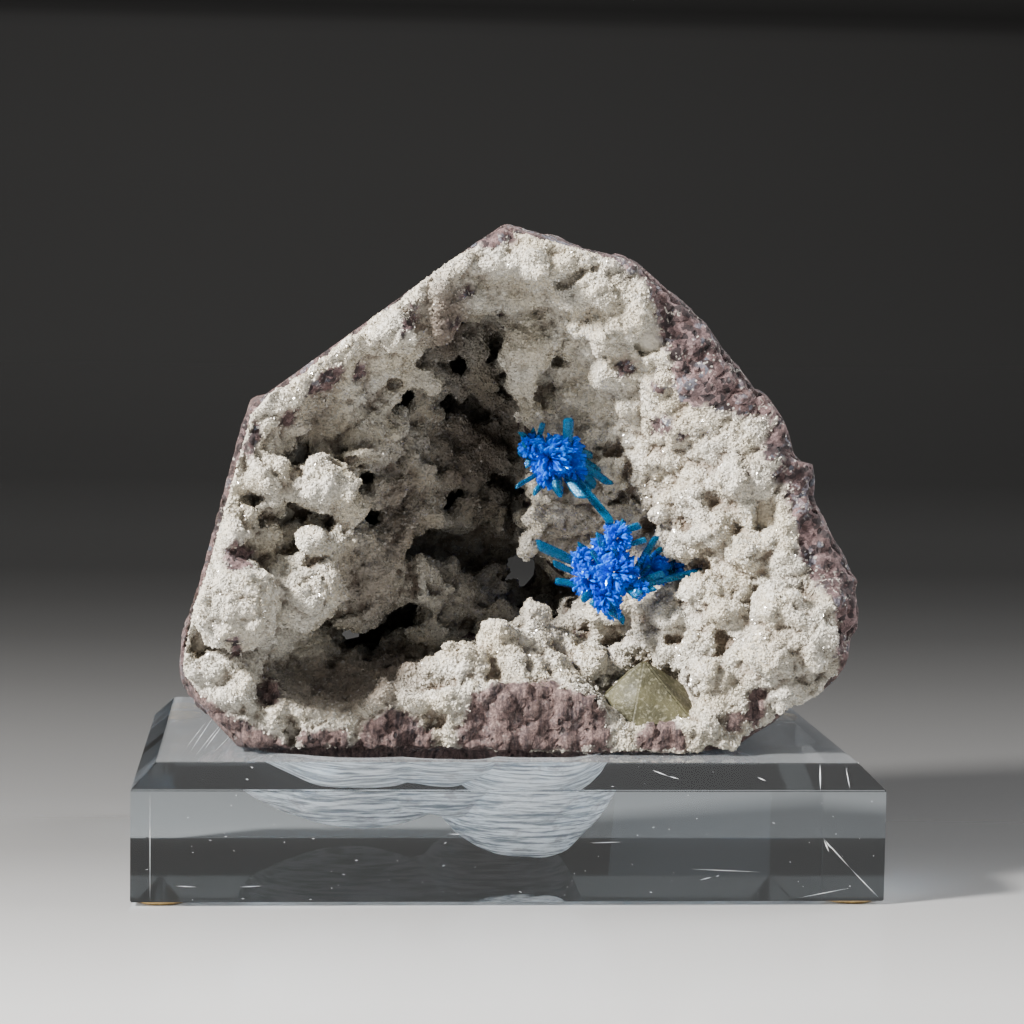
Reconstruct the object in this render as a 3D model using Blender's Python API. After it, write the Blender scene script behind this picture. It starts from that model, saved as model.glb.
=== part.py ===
"""A cabinet specimen: two sprays of blue pentagonite in a basalt vug, fixed on a clear bevelled stand.

Lengths are metres, +Z is up, X runs to the right along the front of the stand and Y runs to its back.
The origin is the middle of the footprint, on the surface that the four pads stand on.
Points of the rock and of the crystals are written in millimetres, and MM turns them into metres.
"""

import math
import random

import bmesh
import bpy
from mathutils import Matrix, Vector, noise

MM = 0.001
GAP = 0.0003

# The stand is cut from sheet three quarters of an inch thick.
STAND_WIDTH = 0.1054
STAND_DEPTH = 0.0715
STAND_THICKNESS = 0.01905
STAND_BEVEL = 0.0034

PAD_RADIUS = 0.0035
PAD_THICKNESS = 0.0004
PAD_GAP = 0.00015
PAD_INSET = 0.0042
PAD_SIDES = 24

STAND_BOTTOM = PAD_THICKNESS + PAD_GAP
STAND_TOP = STAND_BOTTOM + STAND_THICKNESS
ROCK_BOTTOM = STAND_TOP + GAP

# The rock in front view, as x and z from the lower left, clockwise. Straight runs are saw cuts.
RIM = (
    (-46.7, 32.3), (-46.0, 35.9), (-37.8, 68.3), (-2.6, 94.7), (17.8, 89.3), (31.5, 74.1), (39.6, 65.6),
    (44.2, 55.0), (49.5, 43.6), (50.0, 36.4), (41.9, 26.2), (30.5, 19.9), (-37.9, 19.9), (-46.3, 28.8),
)
# The mouth is where the flat rim turns inwards.
MOUTH = (
    (-42.9, 35.9), (-40.6, 47.2), (-37.4, 57.1), (-35.2, 65.2), (-25.8, 73.3), (-16.0, 81.2), (-6.2, 89.5),
    (10.7, 85.8), (19.3, 78.8), (26.6, 70.4), (33.3, 60.6), (37.8, 50.6), (40.2, 40.6), (33.9, 30.5),
    (28.8, 25.1), (14.7, 24.6), (10.1, 28.7), (-5.4, 29.0), (-25.3, 25.3), (-35.9, 28.9),
)
# The shelf is where the gentle slope of the wall ends, with its depth y as a third value.
SHELF = (
    (-31.5, 33.2, -10.0), (-25.4, 41.7, -12.0), (-22.9, 50.1, -12.0), (-23.9, 58.6, -13.0),
    (-25.7, 65.8, -15.0), (-15.9, 74.2, -14.0), (-6.9, 82.7, -14.0), (0.9, 84.3, -13.0), (4.5, 76.0, -8.0),
    (4.7, 67.6, -5.0), (5.3, 56.3, -4.0), (7.2, 46.4, -4.0), (21.1, 32.4, -9.0), (1.6, 36.2, -12.0),
    (-9.7, 30.5, -14.0), (-25.3, 29.0, -12.0),
)
# The floor is the foot of the steep wall, at the back of the vug.
FLOOR = (
    (-26.3, 29.4), (-18.5, 37.3), (-17.1, 46.7), (-16.5, 56.0), (-15.8, 65.4), (-11.2, 76.3), (-3.6, 79.4),
    (2.7, 76.5), (3.6, 65.6), (4.2, 53.2), (6.0, 43.5), (1.8, 35.8), (-7.6, 29.5), (-21.6, 26.2),
)
VUG_CENTRE = (-5.8, 56.0)
RIM_DEPTH = -24.0
MOUTH_DEPTH = -23.7
FLOOR_DEPTH = 17.0
FLOOR_BOWL = 0.7
VUG_POLE_DEPTH = 18.0
ROUND_STEPS = 60
# Shares that keep each loop inside the one before it.
MOUTH_IN_RIM = 0.97
SHELF_IN_MOUTH = 0.92
FLOOR_IN_SHELF = 0.9
SLOPE_STEPS = (0.25, 0.5, 0.75, 1.0)
STEEP_STEPS = (0.3, 0.65, 1.0)

# The outside of the rock behind the rim: a share of the rim's radius, and the depth y.
BACK_RINGS = ((1.015, -15.0), (1.02, -4.0), (1.0, 8.0), (0.93, 19.0), (0.80, 25.0), (0.45, 27.5))
BACK_DEPTH = 28.0
# The outside is moved in and out by noise, with this height in metres and this many waves to the metre.
WEATHERING = 0.0016
WEATHERING_WAVES = 120.0

# Two lobes of the broken underside go down into the pocket of the stand: centre, then half sizes.
KEEL_LOBES = (((-20.5, -6.5, 20.5), (17.5, 18.0, 12.2)), ((3.0, -6.0, 20.5), (14.5, 18.5, 16.2)))
KEEL_GAP = 0.4
KEEL_TOP = 0.1

# Daylight shows through two gaps in the back wall: x, z and radius at the back, then the run to the front.
GAPS_AT_BACK = (((5.0, 41.7), 3.0, (0.082, -0.095)), ((-21.5, 31.8), 1.9, (0.023, -0.117)))
GAP_MIDDLE_DEPTH = 20.0
GAP_LENGTH = 34.0
GAP_SIDES = 10

LINING_GAP = 0.5
LINING_EDGE = 0.985
LINING_RIM = 1.8
LINING_WALL = 2.6
# The crust thickens over this depth from the rim inwards, and ripples by this much with these waves to the mm.
LINING_RUN = 8.0
LINING_RIPPLE = 0.7
LINING_WAVES = 0.22
# Rounded lumps of the lining: x, z, radius and how far each stands out.
LUMPS = (
    ((-34.6, 41.6), 8.5, 5.0), ((-21.2, 44.6), 6.5, 9.0), ((-26.3, 57.3), 5.0, 5.0), ((-7.4, 84.7), 4.5, 4.0),
    ((-15.5, 78.0), 3.5, 5.0), ((-39.0, 50.8), 2.5, 3.0), ((7.3, 79.9), 5.0, 3.0), ((22.5, 66.3), 6.0, 2.0),
    ((28.8, 50.4), 6.0, 3.0), ((35.0, 41.4), 6.0, 3.0), ((29.1, 33.4), 5.0, 3.0), ((3.1, 34.3), 4.0, 4.0),
    ((-6.9, 33.2), 4.0, 4.0),
)
LUMP_FALL = 1.5

CALCITE_APEX = (20.3, -17.5, 31.4)
CALCITE_BASE = (
    (13.8, -19.5, 25.7), (18.2, -23.0, 23.9), (25.9, -22.0, 24.5), (28.2, -15.5, 26.6),
    (24.2, -10.0, 26.8), (15.8, -12.0, 27.0),
)
CALCITE_FOOT = (20.5, -16.0, 22.9)
CALCITE_ROOM = 1.1

# Each root runs back from its spray to the wall of the vug: centre, then half sizes.
SPRAY_ROOTS = (((8.8, -12.5, 61.8), (2.2, 3.7, 2.2)), ((15.2, -14.0, 44.2), (2.4, 4.1, 2.4)))
# Each spray has a middle, a core radius and its long blades: the tip from the middle, then the width.
UPPER_SPRAY = (
    (7.9, -16.0, 61.4), 3.3,
    (
        ((-6.5, -1.5, -4.5), 1.2), ((-3.9, -2.0, -5.3), 1.4), ((-0.5, -2.5, -5.0), 1.9), ((3.3, -2.0, -5.9), 1.3),
        ((7.1, -0.5, -3.6), 1.4), ((6.2, 0.3, -2.5), 1.2), ((4.6, -0.6, 0.1), 1.5), ((1.2, -1.5, 5.7), 1.7),
        ((-2.5, -1.2, 4.9), 1.2), ((-5.8, -1.0, 2.5), 2.2), ((-5.3, -1.6, 0.1), 1.5),
    ),
)
LOWER_SPRAY = (
    (15.0, -18.5, 43.8), 3.7,
    (
        ((-10.5, -1.0, 5.2), 1.7), ((-8.0, -1.5, 2.5), 1.5), ((-7.7, -0.5, 0.0), 1.1), ((-3.9, -1.5, -2.7), 1.4),
        ((0.8, -1.2, -5.4), 1.6), ((13.5, -2.0, 1.4), 1.3), ((11.8, -1.2, 0.5), 1.2), ((7.1, 0.5, 6.4), 1.5),
        ((4.7, -2.2, -2.2), 1.6), ((8.8, 2.2, 2.1), 1.6), ((-1.6, -1.0, 4.8), 1.4),
    ),
)
TOP_SPRAY = (
    (16.7, -18.5, 49.7), 2.1,
    (((2.3, -0.6, 2.3), 1.4), ((3.7, -0.4, 0.4), 1.2), ((-2.9, -0.8, 0.8), 1.4), ((-2.6, -0.4, -1.5), 1.2)),
)
LINK_ENDS = ((9.7, -16.2, 59.0), (16.1, -18.3, 51.3))
LINK_WIDTH = 1.1
CORE_FLATNESS = 0.8
CORE_RINGS = 7
CORE_SIDES = 9
# Short blades on each core: their number, their reach as shares of the core's radius, and their widths.
SHORT_BLADES = 9
SHORT_REACH = (1.15, 1.4)
SHORT_WIDTHS = (1.1, 1.7)
# A blade is a flattened hexagon: its thickness, the half width of its two broad faces, and its oblique end.
BLADE_FLATNESS = 0.45
BLADE_FACE = 0.6
BLADE_SLANT = 0.25
BLADE_TURN = (0.15, 1.0, 0.1)
SPRAY_SEED = 7

PAD_SMOOTH_ANGLE = 40


def clear_scene():
    for thing in list(bpy.context.scene.objects):
        bpy.data.objects.remove(thing)


def finish(name, colour, roughness, transmission=0.0):
    material = bpy.data.materials.new(name)
    material.use_nodes = True
    shader = material.node_tree.nodes["Principled BSDF"]
    shader.inputs["Base Color"].default_value = (*colour, 1.0)
    shader.inputs["Roughness"].default_value = roughness
    shader.inputs["Metallic"].default_value = 0.0
    shader.inputs["Transmission Weight"].default_value = transmission
    material.diffuse_color = (*colour, 1.0)
    return material


def solid(name, shape, material=None, smooth=None):
    """An object from a bmesh, its faces turned outwards. An object with no material is a cutter."""
    bmesh.ops.recalc_face_normals(shape, faces=shape.faces)
    mesh = bpy.data.meshes.new(name)
    shape.to_mesh(mesh)
    shape.free()
    thing = bpy.data.objects.new(name, mesh)
    bpy.context.scene.collection.objects.link(thing)
    if material is None:
        thing.hide_render = True
        thing.display_type = "WIRE"
    else:
        mesh.materials.append(material)
    if smooth is not None:
        mesh.shade_smooth()
        mesh.set_sharp_from_angle(angle=math.radians(smooth))
    return thing


def boolean(thing, other, operation, crossing=False):
    modifier = thing.modifiers.new(other.name, "BOOLEAN")
    modifier.operation = operation
    modifier.object = other
    modifier.solver = "EXACT"
    modifier.use_self = crossing


def ellipsoid(centre, half_sizes, grow=0.0, rings=12, sides=20):
    """A closed ball stretched to half sizes in millimetres, each grown by the same amount."""
    shape = bmesh.new()
    bmesh.ops.create_uvsphere(shape, u_segments=sides, v_segments=rings, radius=1.0)
    scale = Matrix.Diagonal([(half + grow) * MM for half in half_sizes]).to_4x4()
    place = Matrix.Translation(Vector(centre) * MM)
    bmesh.ops.transform(shape, matrix=place @ scale, verts=shape.verts)
    return shape


def keel_lobes(name, grow):
    """The lobes under the rock, rounded below and nearly flat above, where they join it."""
    lobes = []
    for number, (centre, half_sizes) in enumerate(KEEL_LOBES):
        shape = ellipsoid(centre, half_sizes, grow)
        level = centre[2] * MM
        for vertex in shape.verts:
            if vertex.co.z > level:
                vertex.co.z = level + (vertex.co.z - level) * KEEL_TOP
        lobes.append(solid(f"{name}_{number}", shape))
    return lobes


def make_stand(material):
    """The clear block: bevelled round its top, with a pocket that follows the underside of the rock."""
    shape = bmesh.new()
    bmesh.ops.create_cube(shape, size=1.0)
    size = Matrix.Diagonal((STAND_WIDTH, STAND_DEPTH, STAND_THICKNESS, 1.0))
    place = Matrix.Translation((0.0, 0.0, STAND_BOTTOM + STAND_THICKNESS / 2))
    bmesh.ops.transform(shape, matrix=place @ size, verts=shape.verts)
    middle = STAND_BOTTOM + STAND_THICKNESS / 2
    top_edges = [edge for edge in shape.edges if all(vertex.co.z > middle for vertex in edge.verts)]
    bmesh.ops.bevel(
        shape, geom=top_edges, offset=STAND_BEVEL, offset_type="OFFSET", segments=1, affect="EDGES"
    )
    stand = solid("acrylic_stand", shape, material)
    for cutter in keel_lobes("pocket_cutter", KEEL_GAP):
        boolean(stand, cutter, "DIFFERENCE")
    return stand


def make_pads(material):
    """Four thin discs, one under each corner of the stand."""
    for depth_name, side_y in (("front", -1), ("back", 1)):
        for width_name, side_x in (("left", -1), ("right", 1)):
            shape = bmesh.new()
            bmesh.ops.create_cone(
                shape, cap_ends=True, segments=PAD_SIDES, radius1=PAD_RADIUS, radius2=PAD_RADIUS,
                depth=PAD_THICKNESS,
            )
            pad = solid(f"foot_{depth_name}_{width_name}", shape, material, smooth=PAD_SMOOTH_ANGLE)
            pad.location = (
                side_x * (STAND_WIDTH / 2 - PAD_INSET),
                side_y * (STAND_DEPTH / 2 - PAD_INSET),
                PAD_THICKNESS / 2,
            )


def reach(loop, angle):
    """How far the loop is from the vug's centre along an angle, and the loop's depth there if it has one."""
    ahead = Vector((math.cos(angle), math.sin(angle)))
    centre = Vector(VUG_CENTRE)
    for start, end in zip(loop, loop[1:] + loop[:1]):
        from_start = Vector(start[:2]) - centre
        run = Vector(end[:2]) - Vector(start[:2])
        crossing = ahead.x * -run.y + ahead.y * run.x
        if abs(crossing) < 1e-9:
            continue
        distance = (from_start.x * -run.y + from_start.y * run.x) / crossing
        along = (ahead.x * from_start.y - ahead.y * from_start.x) / crossing
        if distance > 0 and 0 <= along <= 1:
            depth = start[2] + (end[2] - start[2]) * along if len(start) > 2 else None
            return distance, depth
    raise ValueError("the loop doesn't go round the vug's centre")


def eased(start, end, share):
    """Between two values, level at both ends."""
    return start + (end - start) * share * share * (3 - 2 * share)


def front_profile(angle):
    """Radius and depth in millimetres from the rim to the floor, along one angle of the front view."""
    rim = reach(RIM, angle)[0]
    mouth = min(reach(MOUTH, angle)[0], MOUTH_IN_RIM * rim)
    shelf, shelf_depth = reach(SHELF, angle)
    shelf = min(shelf, SHELF_IN_MOUTH * mouth)
    floor = min(reach(FLOOR, angle)[0], FLOOR_IN_SHELF * shelf)
    profile = [(rim, RIM_DEPTH), (mouth, MOUTH_DEPTH)]
    for share in SLOPE_STEPS:
        radius = mouth + (shelf - mouth) * share
        bowl = math.sin(share * math.pi / 2)
        profile.append((radius, MOUTH_DEPTH + (shelf_depth - MOUTH_DEPTH) * bowl))
    for share in STEEP_STEPS:
        radius = shelf + (floor - shelf) * share
        profile.append((radius, eased(shelf_depth, FLOOR_DEPTH, share)))
    profile.append((floor / 2, FLOOR_DEPTH + FLOOR_BOWL))
    return profile


def ring_point(angle, radius, depth):
    """A point of the rock in metres, kept above the stand."""
    x = VUG_CENTRE[0] + radius * math.cos(angle)
    z = VUG_CENTRE[1] + radius * math.sin(angle)
    return Vector((x * MM, depth * MM, max(z * MM, ROCK_BOTTOM)))


def closed_rings(rings, first_pole, last_pole):
    """A closed mesh from rings of points, each end drawn together in one point."""
    shape = bmesh.new()
    rows = [[shape.verts.new(point) for point in ring] for ring in rings]
    for near, far in zip(rows, rows[1:]):
        for i in range(len(near)):
            after = (i + 1) % len(near)
            shape.faces.new((near[i], near[after], far[after], far[i]))
    for row, pole in ((rows[0], first_pole), (rows[-1], last_pole)):
        tip = shape.verts.new(pole)
        for i in range(len(row)):
            shape.faces.new((row[i], row[(i + 1) % len(row)], tip))
    bmesh.ops.triangulate(shape, faces=shape.faces)
    return shape


def angles():
    return [2 * math.pi * step / ROUND_STEPS for step in range(ROUND_STEPS)]


def weathered(point):
    """Moves a point of the rough outside a little in or out from the middle of the rock."""
    outward = (point - Vector((0.0, 0.0, VUG_CENTRE[1] * MM))).normalized()
    moved = point + outward * noise.noise(point * WEATHERING_WAVES) * WEATHERING
    moved.z = max(moved.z, ROCK_BOTTOM)
    return moved


def make_rock(material):
    """The basalt: a sawn block with the vug in its front and two lobes that go into the pocket."""
    profiles = [front_profile(angle) for angle in angles()]
    front = [
        [ring_point(angle, *profile[step]) for angle, profile in zip(angles(), profiles)]
        for step in range(len(profiles[0]))
    ]
    back = []
    for share, depth in BACK_RINGS:
        ring = [ring_point(angle, reach(RIM, angle)[0] * share, depth) for angle in angles()]
        back.append([weathered(point) for point in ring])
    vug_pole = Vector((VUG_CENTRE[0], VUG_POLE_DEPTH, VUG_CENTRE[1])) * MM
    back_pole = Vector((VUG_CENTRE[0], BACK_DEPTH, VUG_CENTRE[1])) * MM
    rock = solid("basalt_matrix", closed_rings(front[::-1] + back, vug_pole, back_pole), material)
    for lobe in keel_lobes("keel_lobe", 0.0):
        boolean(rock, lobe, "UNION")
    return rock


def lining_thickness(x, z, depth):
    """Thickness along y in millimetres, from thin on the rim to thick in the vug, with the lumps added."""
    into_vug = min(max((depth - RIM_DEPTH) / LINING_RUN, 0.0), 1.0)
    thickness = eased(LINING_RIM, LINING_WALL, into_vug)
    for (lump_x, lump_z), radius, height in LUMPS:
        away = math.hypot(x - lump_x, z - lump_z) / radius
        thickness += height * math.exp(-LUMP_FALL * away * away)
    return thickness + LINING_RIPPLE * noise.noise(Vector((x, depth, z)) * LINING_WAVES)


def make_lining(material):
    """The crust on the wall and rim of the vug, held just off the basalt behind it."""
    profiles = []
    for angle in angles():
        profile = front_profile(angle)
        profiles.append([(profile[0][0] * LINING_EDGE, profile[0][1])] + profile[1:])
    behind = []
    before = []
    for step in range(len(profiles[0])):
        pairs = [(angle, *profile[step]) for angle, profile in zip(angles(), profiles)]
        back_ring = [ring_point(angle, radius, depth - LINING_GAP) for angle, radius, depth in pairs]
        front_ring = []
        for point in back_ring:
            thickness = lining_thickness(point.x / MM, point.z / MM, point.y / MM + LINING_GAP)
            front_ring.append(point - Vector((0.0, thickness * MM, 0.0)))
        behind.append(back_ring)
        before.append(front_ring)
    pole = Vector((VUG_CENTRE[0], VUG_POLE_DEPTH - LINING_GAP, VUG_CENTRE[1])) * MM
    front_pole = pole - Vector((0.0, LINING_WALL * MM, 0.0))
    return solid("druse_lining", closed_rings(before[::-1] + behind, front_pole, pole), material)


def gap_cutter(number, place, radius, slope):
    """A straight passage through the back wall, along the line of sight from the front."""
    shape = bmesh.new()
    bmesh.ops.create_cone(
        shape, cap_ends=True, segments=GAP_SIDES, radius1=radius * MM, radius2=radius * MM, depth=GAP_LENGTH * MM,
    )
    bmesh.ops.transform(shape, matrix=Matrix.Rotation(math.radians(90), 4, "X"), verts=shape.verts)
    for vertex in shape.verts:
        run = vertex.co.y
        vertex.co += Vector((slope[0] * run, 0.0, slope[1] * run))
        vertex.co += Vector((place[0], GAP_MIDDLE_DEPTH, place[1])) * MM
    return solid(f"gap_cutter_{number}", shape)


def calcite_shape(grow=1.0):
    """A blunt six-sided crystal, which may be grown about its middle to cut the room for it."""
    shape = bmesh.new()
    middle = Vector(CALCITE_APEX).lerp(Vector(CALCITE_FOOT), 0.5)
    points = [middle + (Vector(point) - middle) * grow for point in (CALCITE_APEX, *CALCITE_BASE, CALCITE_FOOT)]
    apex, *base, foot = [shape.verts.new(point * MM) for point in points]
    for i in range(len(base)):
        after = (i + 1) % len(base)
        shape.faces.new((base[i], base[after], apex))
        shape.faces.new((base[after], base[i], foot))
    return shape


def add_blade(shape, start, end, width):
    """A flat six-sided prism with an oblique end, from start to end in millimetres."""
    run = end - start
    along = run.normalized()
    side = along.cross(Vector(BLADE_TURN)).normalized()
    up = along.cross(side).normalized()
    half = width / 2
    flat = half * BLADE_FLATNESS
    broad = half * BLADE_FACE
    corners = ((half, 0.0), (broad, flat), (-broad, flat), (-half, 0.0), (-broad, -flat), (broad, -flat))
    near = [shape.verts.new((start + side * a + up * b) * MM) for a, b in corners]
    far = [shape.verts.new((end + side * a + up * b - along * (BLADE_SLANT * (a + half))) * MM) for a, b in corners]
    for i in range(len(corners)):
        after = (i + 1) % len(corners)
        shape.faces.new((near[i], near[after], far[after], far[i]))
    shape.faces.new(near[::-1])
    shape.faces.new(far)


def make_sprays(material):
    """Both sprays and the prism between them, joined in one solid because they grew together."""
    dice = random.Random(SPRAY_SEED)
    blades = bmesh.new()
    cores = []
    for middle, core, long_blades in (UPPER_SPRAY, LOWER_SPRAY, TOP_SPRAY):
        middle = Vector(middle)
        for tip, width in long_blades:
            add_blade(blades, middle, middle + Vector(tip), width)
        for _ in range(SHORT_BLADES):
            ahead = Vector((dice.uniform(-1, 1), dice.uniform(-1.0, 0.1), dice.uniform(-1, 1))).normalized()
            tip = middle + ahead * core * dice.uniform(*SHORT_REACH)
            add_blade(blades, middle, tip, dice.uniform(*SHORT_WIDTHS))
        cores.append((middle, (core, core * CORE_FLATNESS, core)))
    cores += SPRAY_ROOTS
    cores = [ellipsoid(centre, sizes, rings=CORE_RINGS, sides=CORE_SIDES) for centre, sizes in cores]
    add_blade(blades, Vector(LINK_ENDS[0]), Vector(LINK_ENDS[1]), LINK_WIDTH)
    blades_cutter = solid("blades", blades)
    sprays = solid("pentagonite_crystals", cores[0], material)
    for number, core in enumerate(cores[1:]):
        boolean(sprays, solid(f"core_{number}", core), "UNION")
    boolean(sprays, blades_cutter, "UNION", crossing=True)
    return sprays


def build():
    clear_scene()
    clear = finish("acrylic", (0.92, 0.95, 0.96), 0.03, transmission=1.0)
    pad = finish("pad", (0.62, 0.47, 0.26), 0.6)
    basalt = finish("basalt", (0.22, 0.14, 0.14), 0.85)
    druse = finish("druse", (0.66, 0.63, 0.58), 0.55)
    calcite = finish("calcite", (0.42, 0.41, 0.30), 0.3, transmission=0.3)
    blue = finish("pentagonite", (0.0, 0.22, 0.85), 0.15, transmission=0.4)

    make_stand(clear)
    make_pads(pad)
    rock = make_rock(basalt)
    lining = make_lining(druse)
    solid("calcite_crystal", calcite_shape(), calcite)
    room = solid("calcite_room", calcite_shape(CALCITE_ROOM))
    for number, (place, radius, slope) in enumerate(GAPS_AT_BACK):
        cutter = gap_cutter(number, place, radius, slope)
        boolean(rock, cutter, "DIFFERENCE")
        boolean(lining, cutter, "DIFFERENCE")
    boolean(rock, room, "DIFFERENCE")
    boolean(lining, room, "DIFFERENCE")
    make_sprays(blue)


build()
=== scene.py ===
# %% [markdown]
# # A pentagonite specimen on a clear stand
# Blue pentagonite grew in a hollow of dark basalt, on a crust of sugary pale crystals. A dealer sawed the rock
# to size and set it in a pocket milled in a bevelled block of clear acrylic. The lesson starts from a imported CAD
# model, whose pieces sit where they belong, and gives each of them the shape and finish of the real one.

import math
import random

import bmesh
import bpy
import numpy as np
from mathutils import Matrix, Vector, noise
from mathutils.bvhtree import BVHTree


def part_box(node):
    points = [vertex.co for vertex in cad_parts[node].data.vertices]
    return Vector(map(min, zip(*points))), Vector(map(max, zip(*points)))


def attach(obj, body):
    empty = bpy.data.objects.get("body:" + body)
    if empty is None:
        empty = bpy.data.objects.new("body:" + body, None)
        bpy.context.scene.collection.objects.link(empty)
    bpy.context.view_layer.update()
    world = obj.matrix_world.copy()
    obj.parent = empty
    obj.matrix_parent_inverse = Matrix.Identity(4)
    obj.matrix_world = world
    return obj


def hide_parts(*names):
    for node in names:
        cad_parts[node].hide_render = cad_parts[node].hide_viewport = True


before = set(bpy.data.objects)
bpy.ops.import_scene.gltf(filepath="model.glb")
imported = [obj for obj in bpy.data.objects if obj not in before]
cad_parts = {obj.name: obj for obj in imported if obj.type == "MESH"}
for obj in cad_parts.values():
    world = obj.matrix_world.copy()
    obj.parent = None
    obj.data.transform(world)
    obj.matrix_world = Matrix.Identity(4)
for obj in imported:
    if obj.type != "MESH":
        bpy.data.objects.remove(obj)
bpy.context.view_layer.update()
MM = 0.001

# %% [markdown]
# ## The camera
# The picture was taken with a long lens a little under half a metre away, so the block keeps nearly parallel
# sides. The place was worked out from the corners of the block. Once the camera is known, any point of the
# picture gives a line of sight, and where that line meets the model is the place of a detail. Python does this
# once, and the details then stay on the model from every side.

# %% Camera
FRAME_SIDE = 1024
LENS, SENSOR = 100.0, 36.0
FOCAL = LENS / SENSOR * FRAME_SIDE
CAMERA_PLACE = Vector((-31.57, -425.77, 84.04)) * MM
CAMERA_YAW, CAMERA_PITCH, CAMERA_ROLL = (math.radians(value) for value in (4.536, -4.241, 0.832))
CAMERA_AIM = Vector((
    math.sin(CAMERA_YAW) * math.cos(CAMERA_PITCH), math.cos(CAMERA_YAW) * math.cos(CAMERA_PITCH),
    math.sin(CAMERA_PITCH),
))

camera = bpy.data.objects.new("camera", bpy.data.cameras.new("camera"))
camera.data.lens = LENS
camera.data.sensor_width = SENSOR
camera.data.clip_start = 0.01
bpy.context.scene.collection.objects.link(camera)
level_right = CAMERA_AIM.cross(Vector((0.0, 0.0, 1.0))).normalized()
right = Matrix.Rotation(-CAMERA_ROLL, 3, CAMERA_AIM) @ level_right
up = right.cross(CAMERA_AIM)
camera.matrix_world = Matrix.Translation(CAMERA_PLACE) @ Matrix((right, up, -CAMERA_AIM)).transposed().to_4x4()
bpy.context.scene.camera = camera


def sight(px, py):
    """The direction from the camera through a pixel."""
    half = FRAME_SIDE / 2
    return (CAMERA_AIM * FOCAL + right * (px - half) + up * (half - py)).normalized()


def at_depth(px, py, depth):
    """The point seen at a pixel, at a depth y in millimetres."""
    ray = sight(px, py)
    return CAMERA_PLACE + ray * ((depth * MM - CAMERA_PLACE.y) / ray.y)


def to_pixels(points):
    """Where an array of points is seen in the picture."""
    away = np.asarray(points) - np.array(CAMERA_PLACE)
    forward = away @ np.array(CAMERA_AIM)
    half = FRAME_SIDE / 2
    return np.stack([
        half + FOCAL * (away @ np.array(right)) / forward,
        half - FOCAL * (away @ np.array(up)) / forward,
    ], axis=1)


print("front corners of the block in pixels:", to_pixels([
    (-0.0527, -0.03575, 0.00055), (0.0527, -0.03575, 0.00055), (-0.0527, -0.03575, 0.0162), (0.0527, -0.03575, 0.0162),
]).round(1).tolist())

# %% [markdown]
# ## Node trees written as Python
# Materials and Geometry Nodes are both trees of nodes. One class adds a node, its settings first and then the
# values or links of its sockets. Another wraps a socket and gives it the signs of arithmetic, so that a
# pattern reads like a formula.


# %% Node helpers
class Link:
    """The output of a node. Arithmetic on it adds Math nodes."""

    def __init__(self, graph, socket):
        self.graph = graph
        self.socket = socket

    def maths(self, operation, other, swapped=False):
        first, second = (other, self) if swapped else (self, other)
        return self.graph.node("ShaderNodeMath", {"operation": operation}, {0: first, 1: second})

    def __add__(self, other):
        return self.maths("ADD", other)

    def __radd__(self, other):
        return self.maths("ADD", other, True)

    def __sub__(self, other):
        return self.maths("SUBTRACT", other)

    def __rsub__(self, other):
        return self.maths("SUBTRACT", other, True)

    def __mul__(self, other):
        return self.maths("MULTIPLY", other)

    def __rmul__(self, other):
        return self.maths("MULTIPLY", other, True)

    def __truediv__(self, other):
        return self.maths("DIVIDE", other)


class Graph:
    """A node tree that is built one node at a time."""

    def __init__(self, tree):
        self.tree = tree

    def node(self, kind, settings=None, inputs=None, out=0):
        node = self.tree.nodes.new(kind)
        for name, value in (settings or {}).items():
            if name == "stops":
                for stop, (position, colour) in zip(self.stops(node.color_ramp, len(value)), value):
                    stop.position, stop.color = position, colour
            else:
                setattr(node, name, value)
        for name, value in (inputs or {}).items():
            if isinstance(value, Link):
                self.tree.links.new(value.socket, node.inputs[name])
            else:
                node.inputs[name].default_value = value
        return Link(self, node.outputs[out])

    @staticmethod
    def stops(ramp, count):
        while len(ramp.elements) < count:
            ramp.elements.new(1.0)
        return ramp.elements


def tone(red, green, blue):
    """A colour as a screen shows it, 0 to 255, turned into the linear values that Blender reads."""
    shares = [value / 255 for value in (red, green, blue)]
    return (*[s / 12.92 if s <= 0.04045 else ((s + 0.055) / 1.055) ** 2.4 for s in shares], 1.0)


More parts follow.
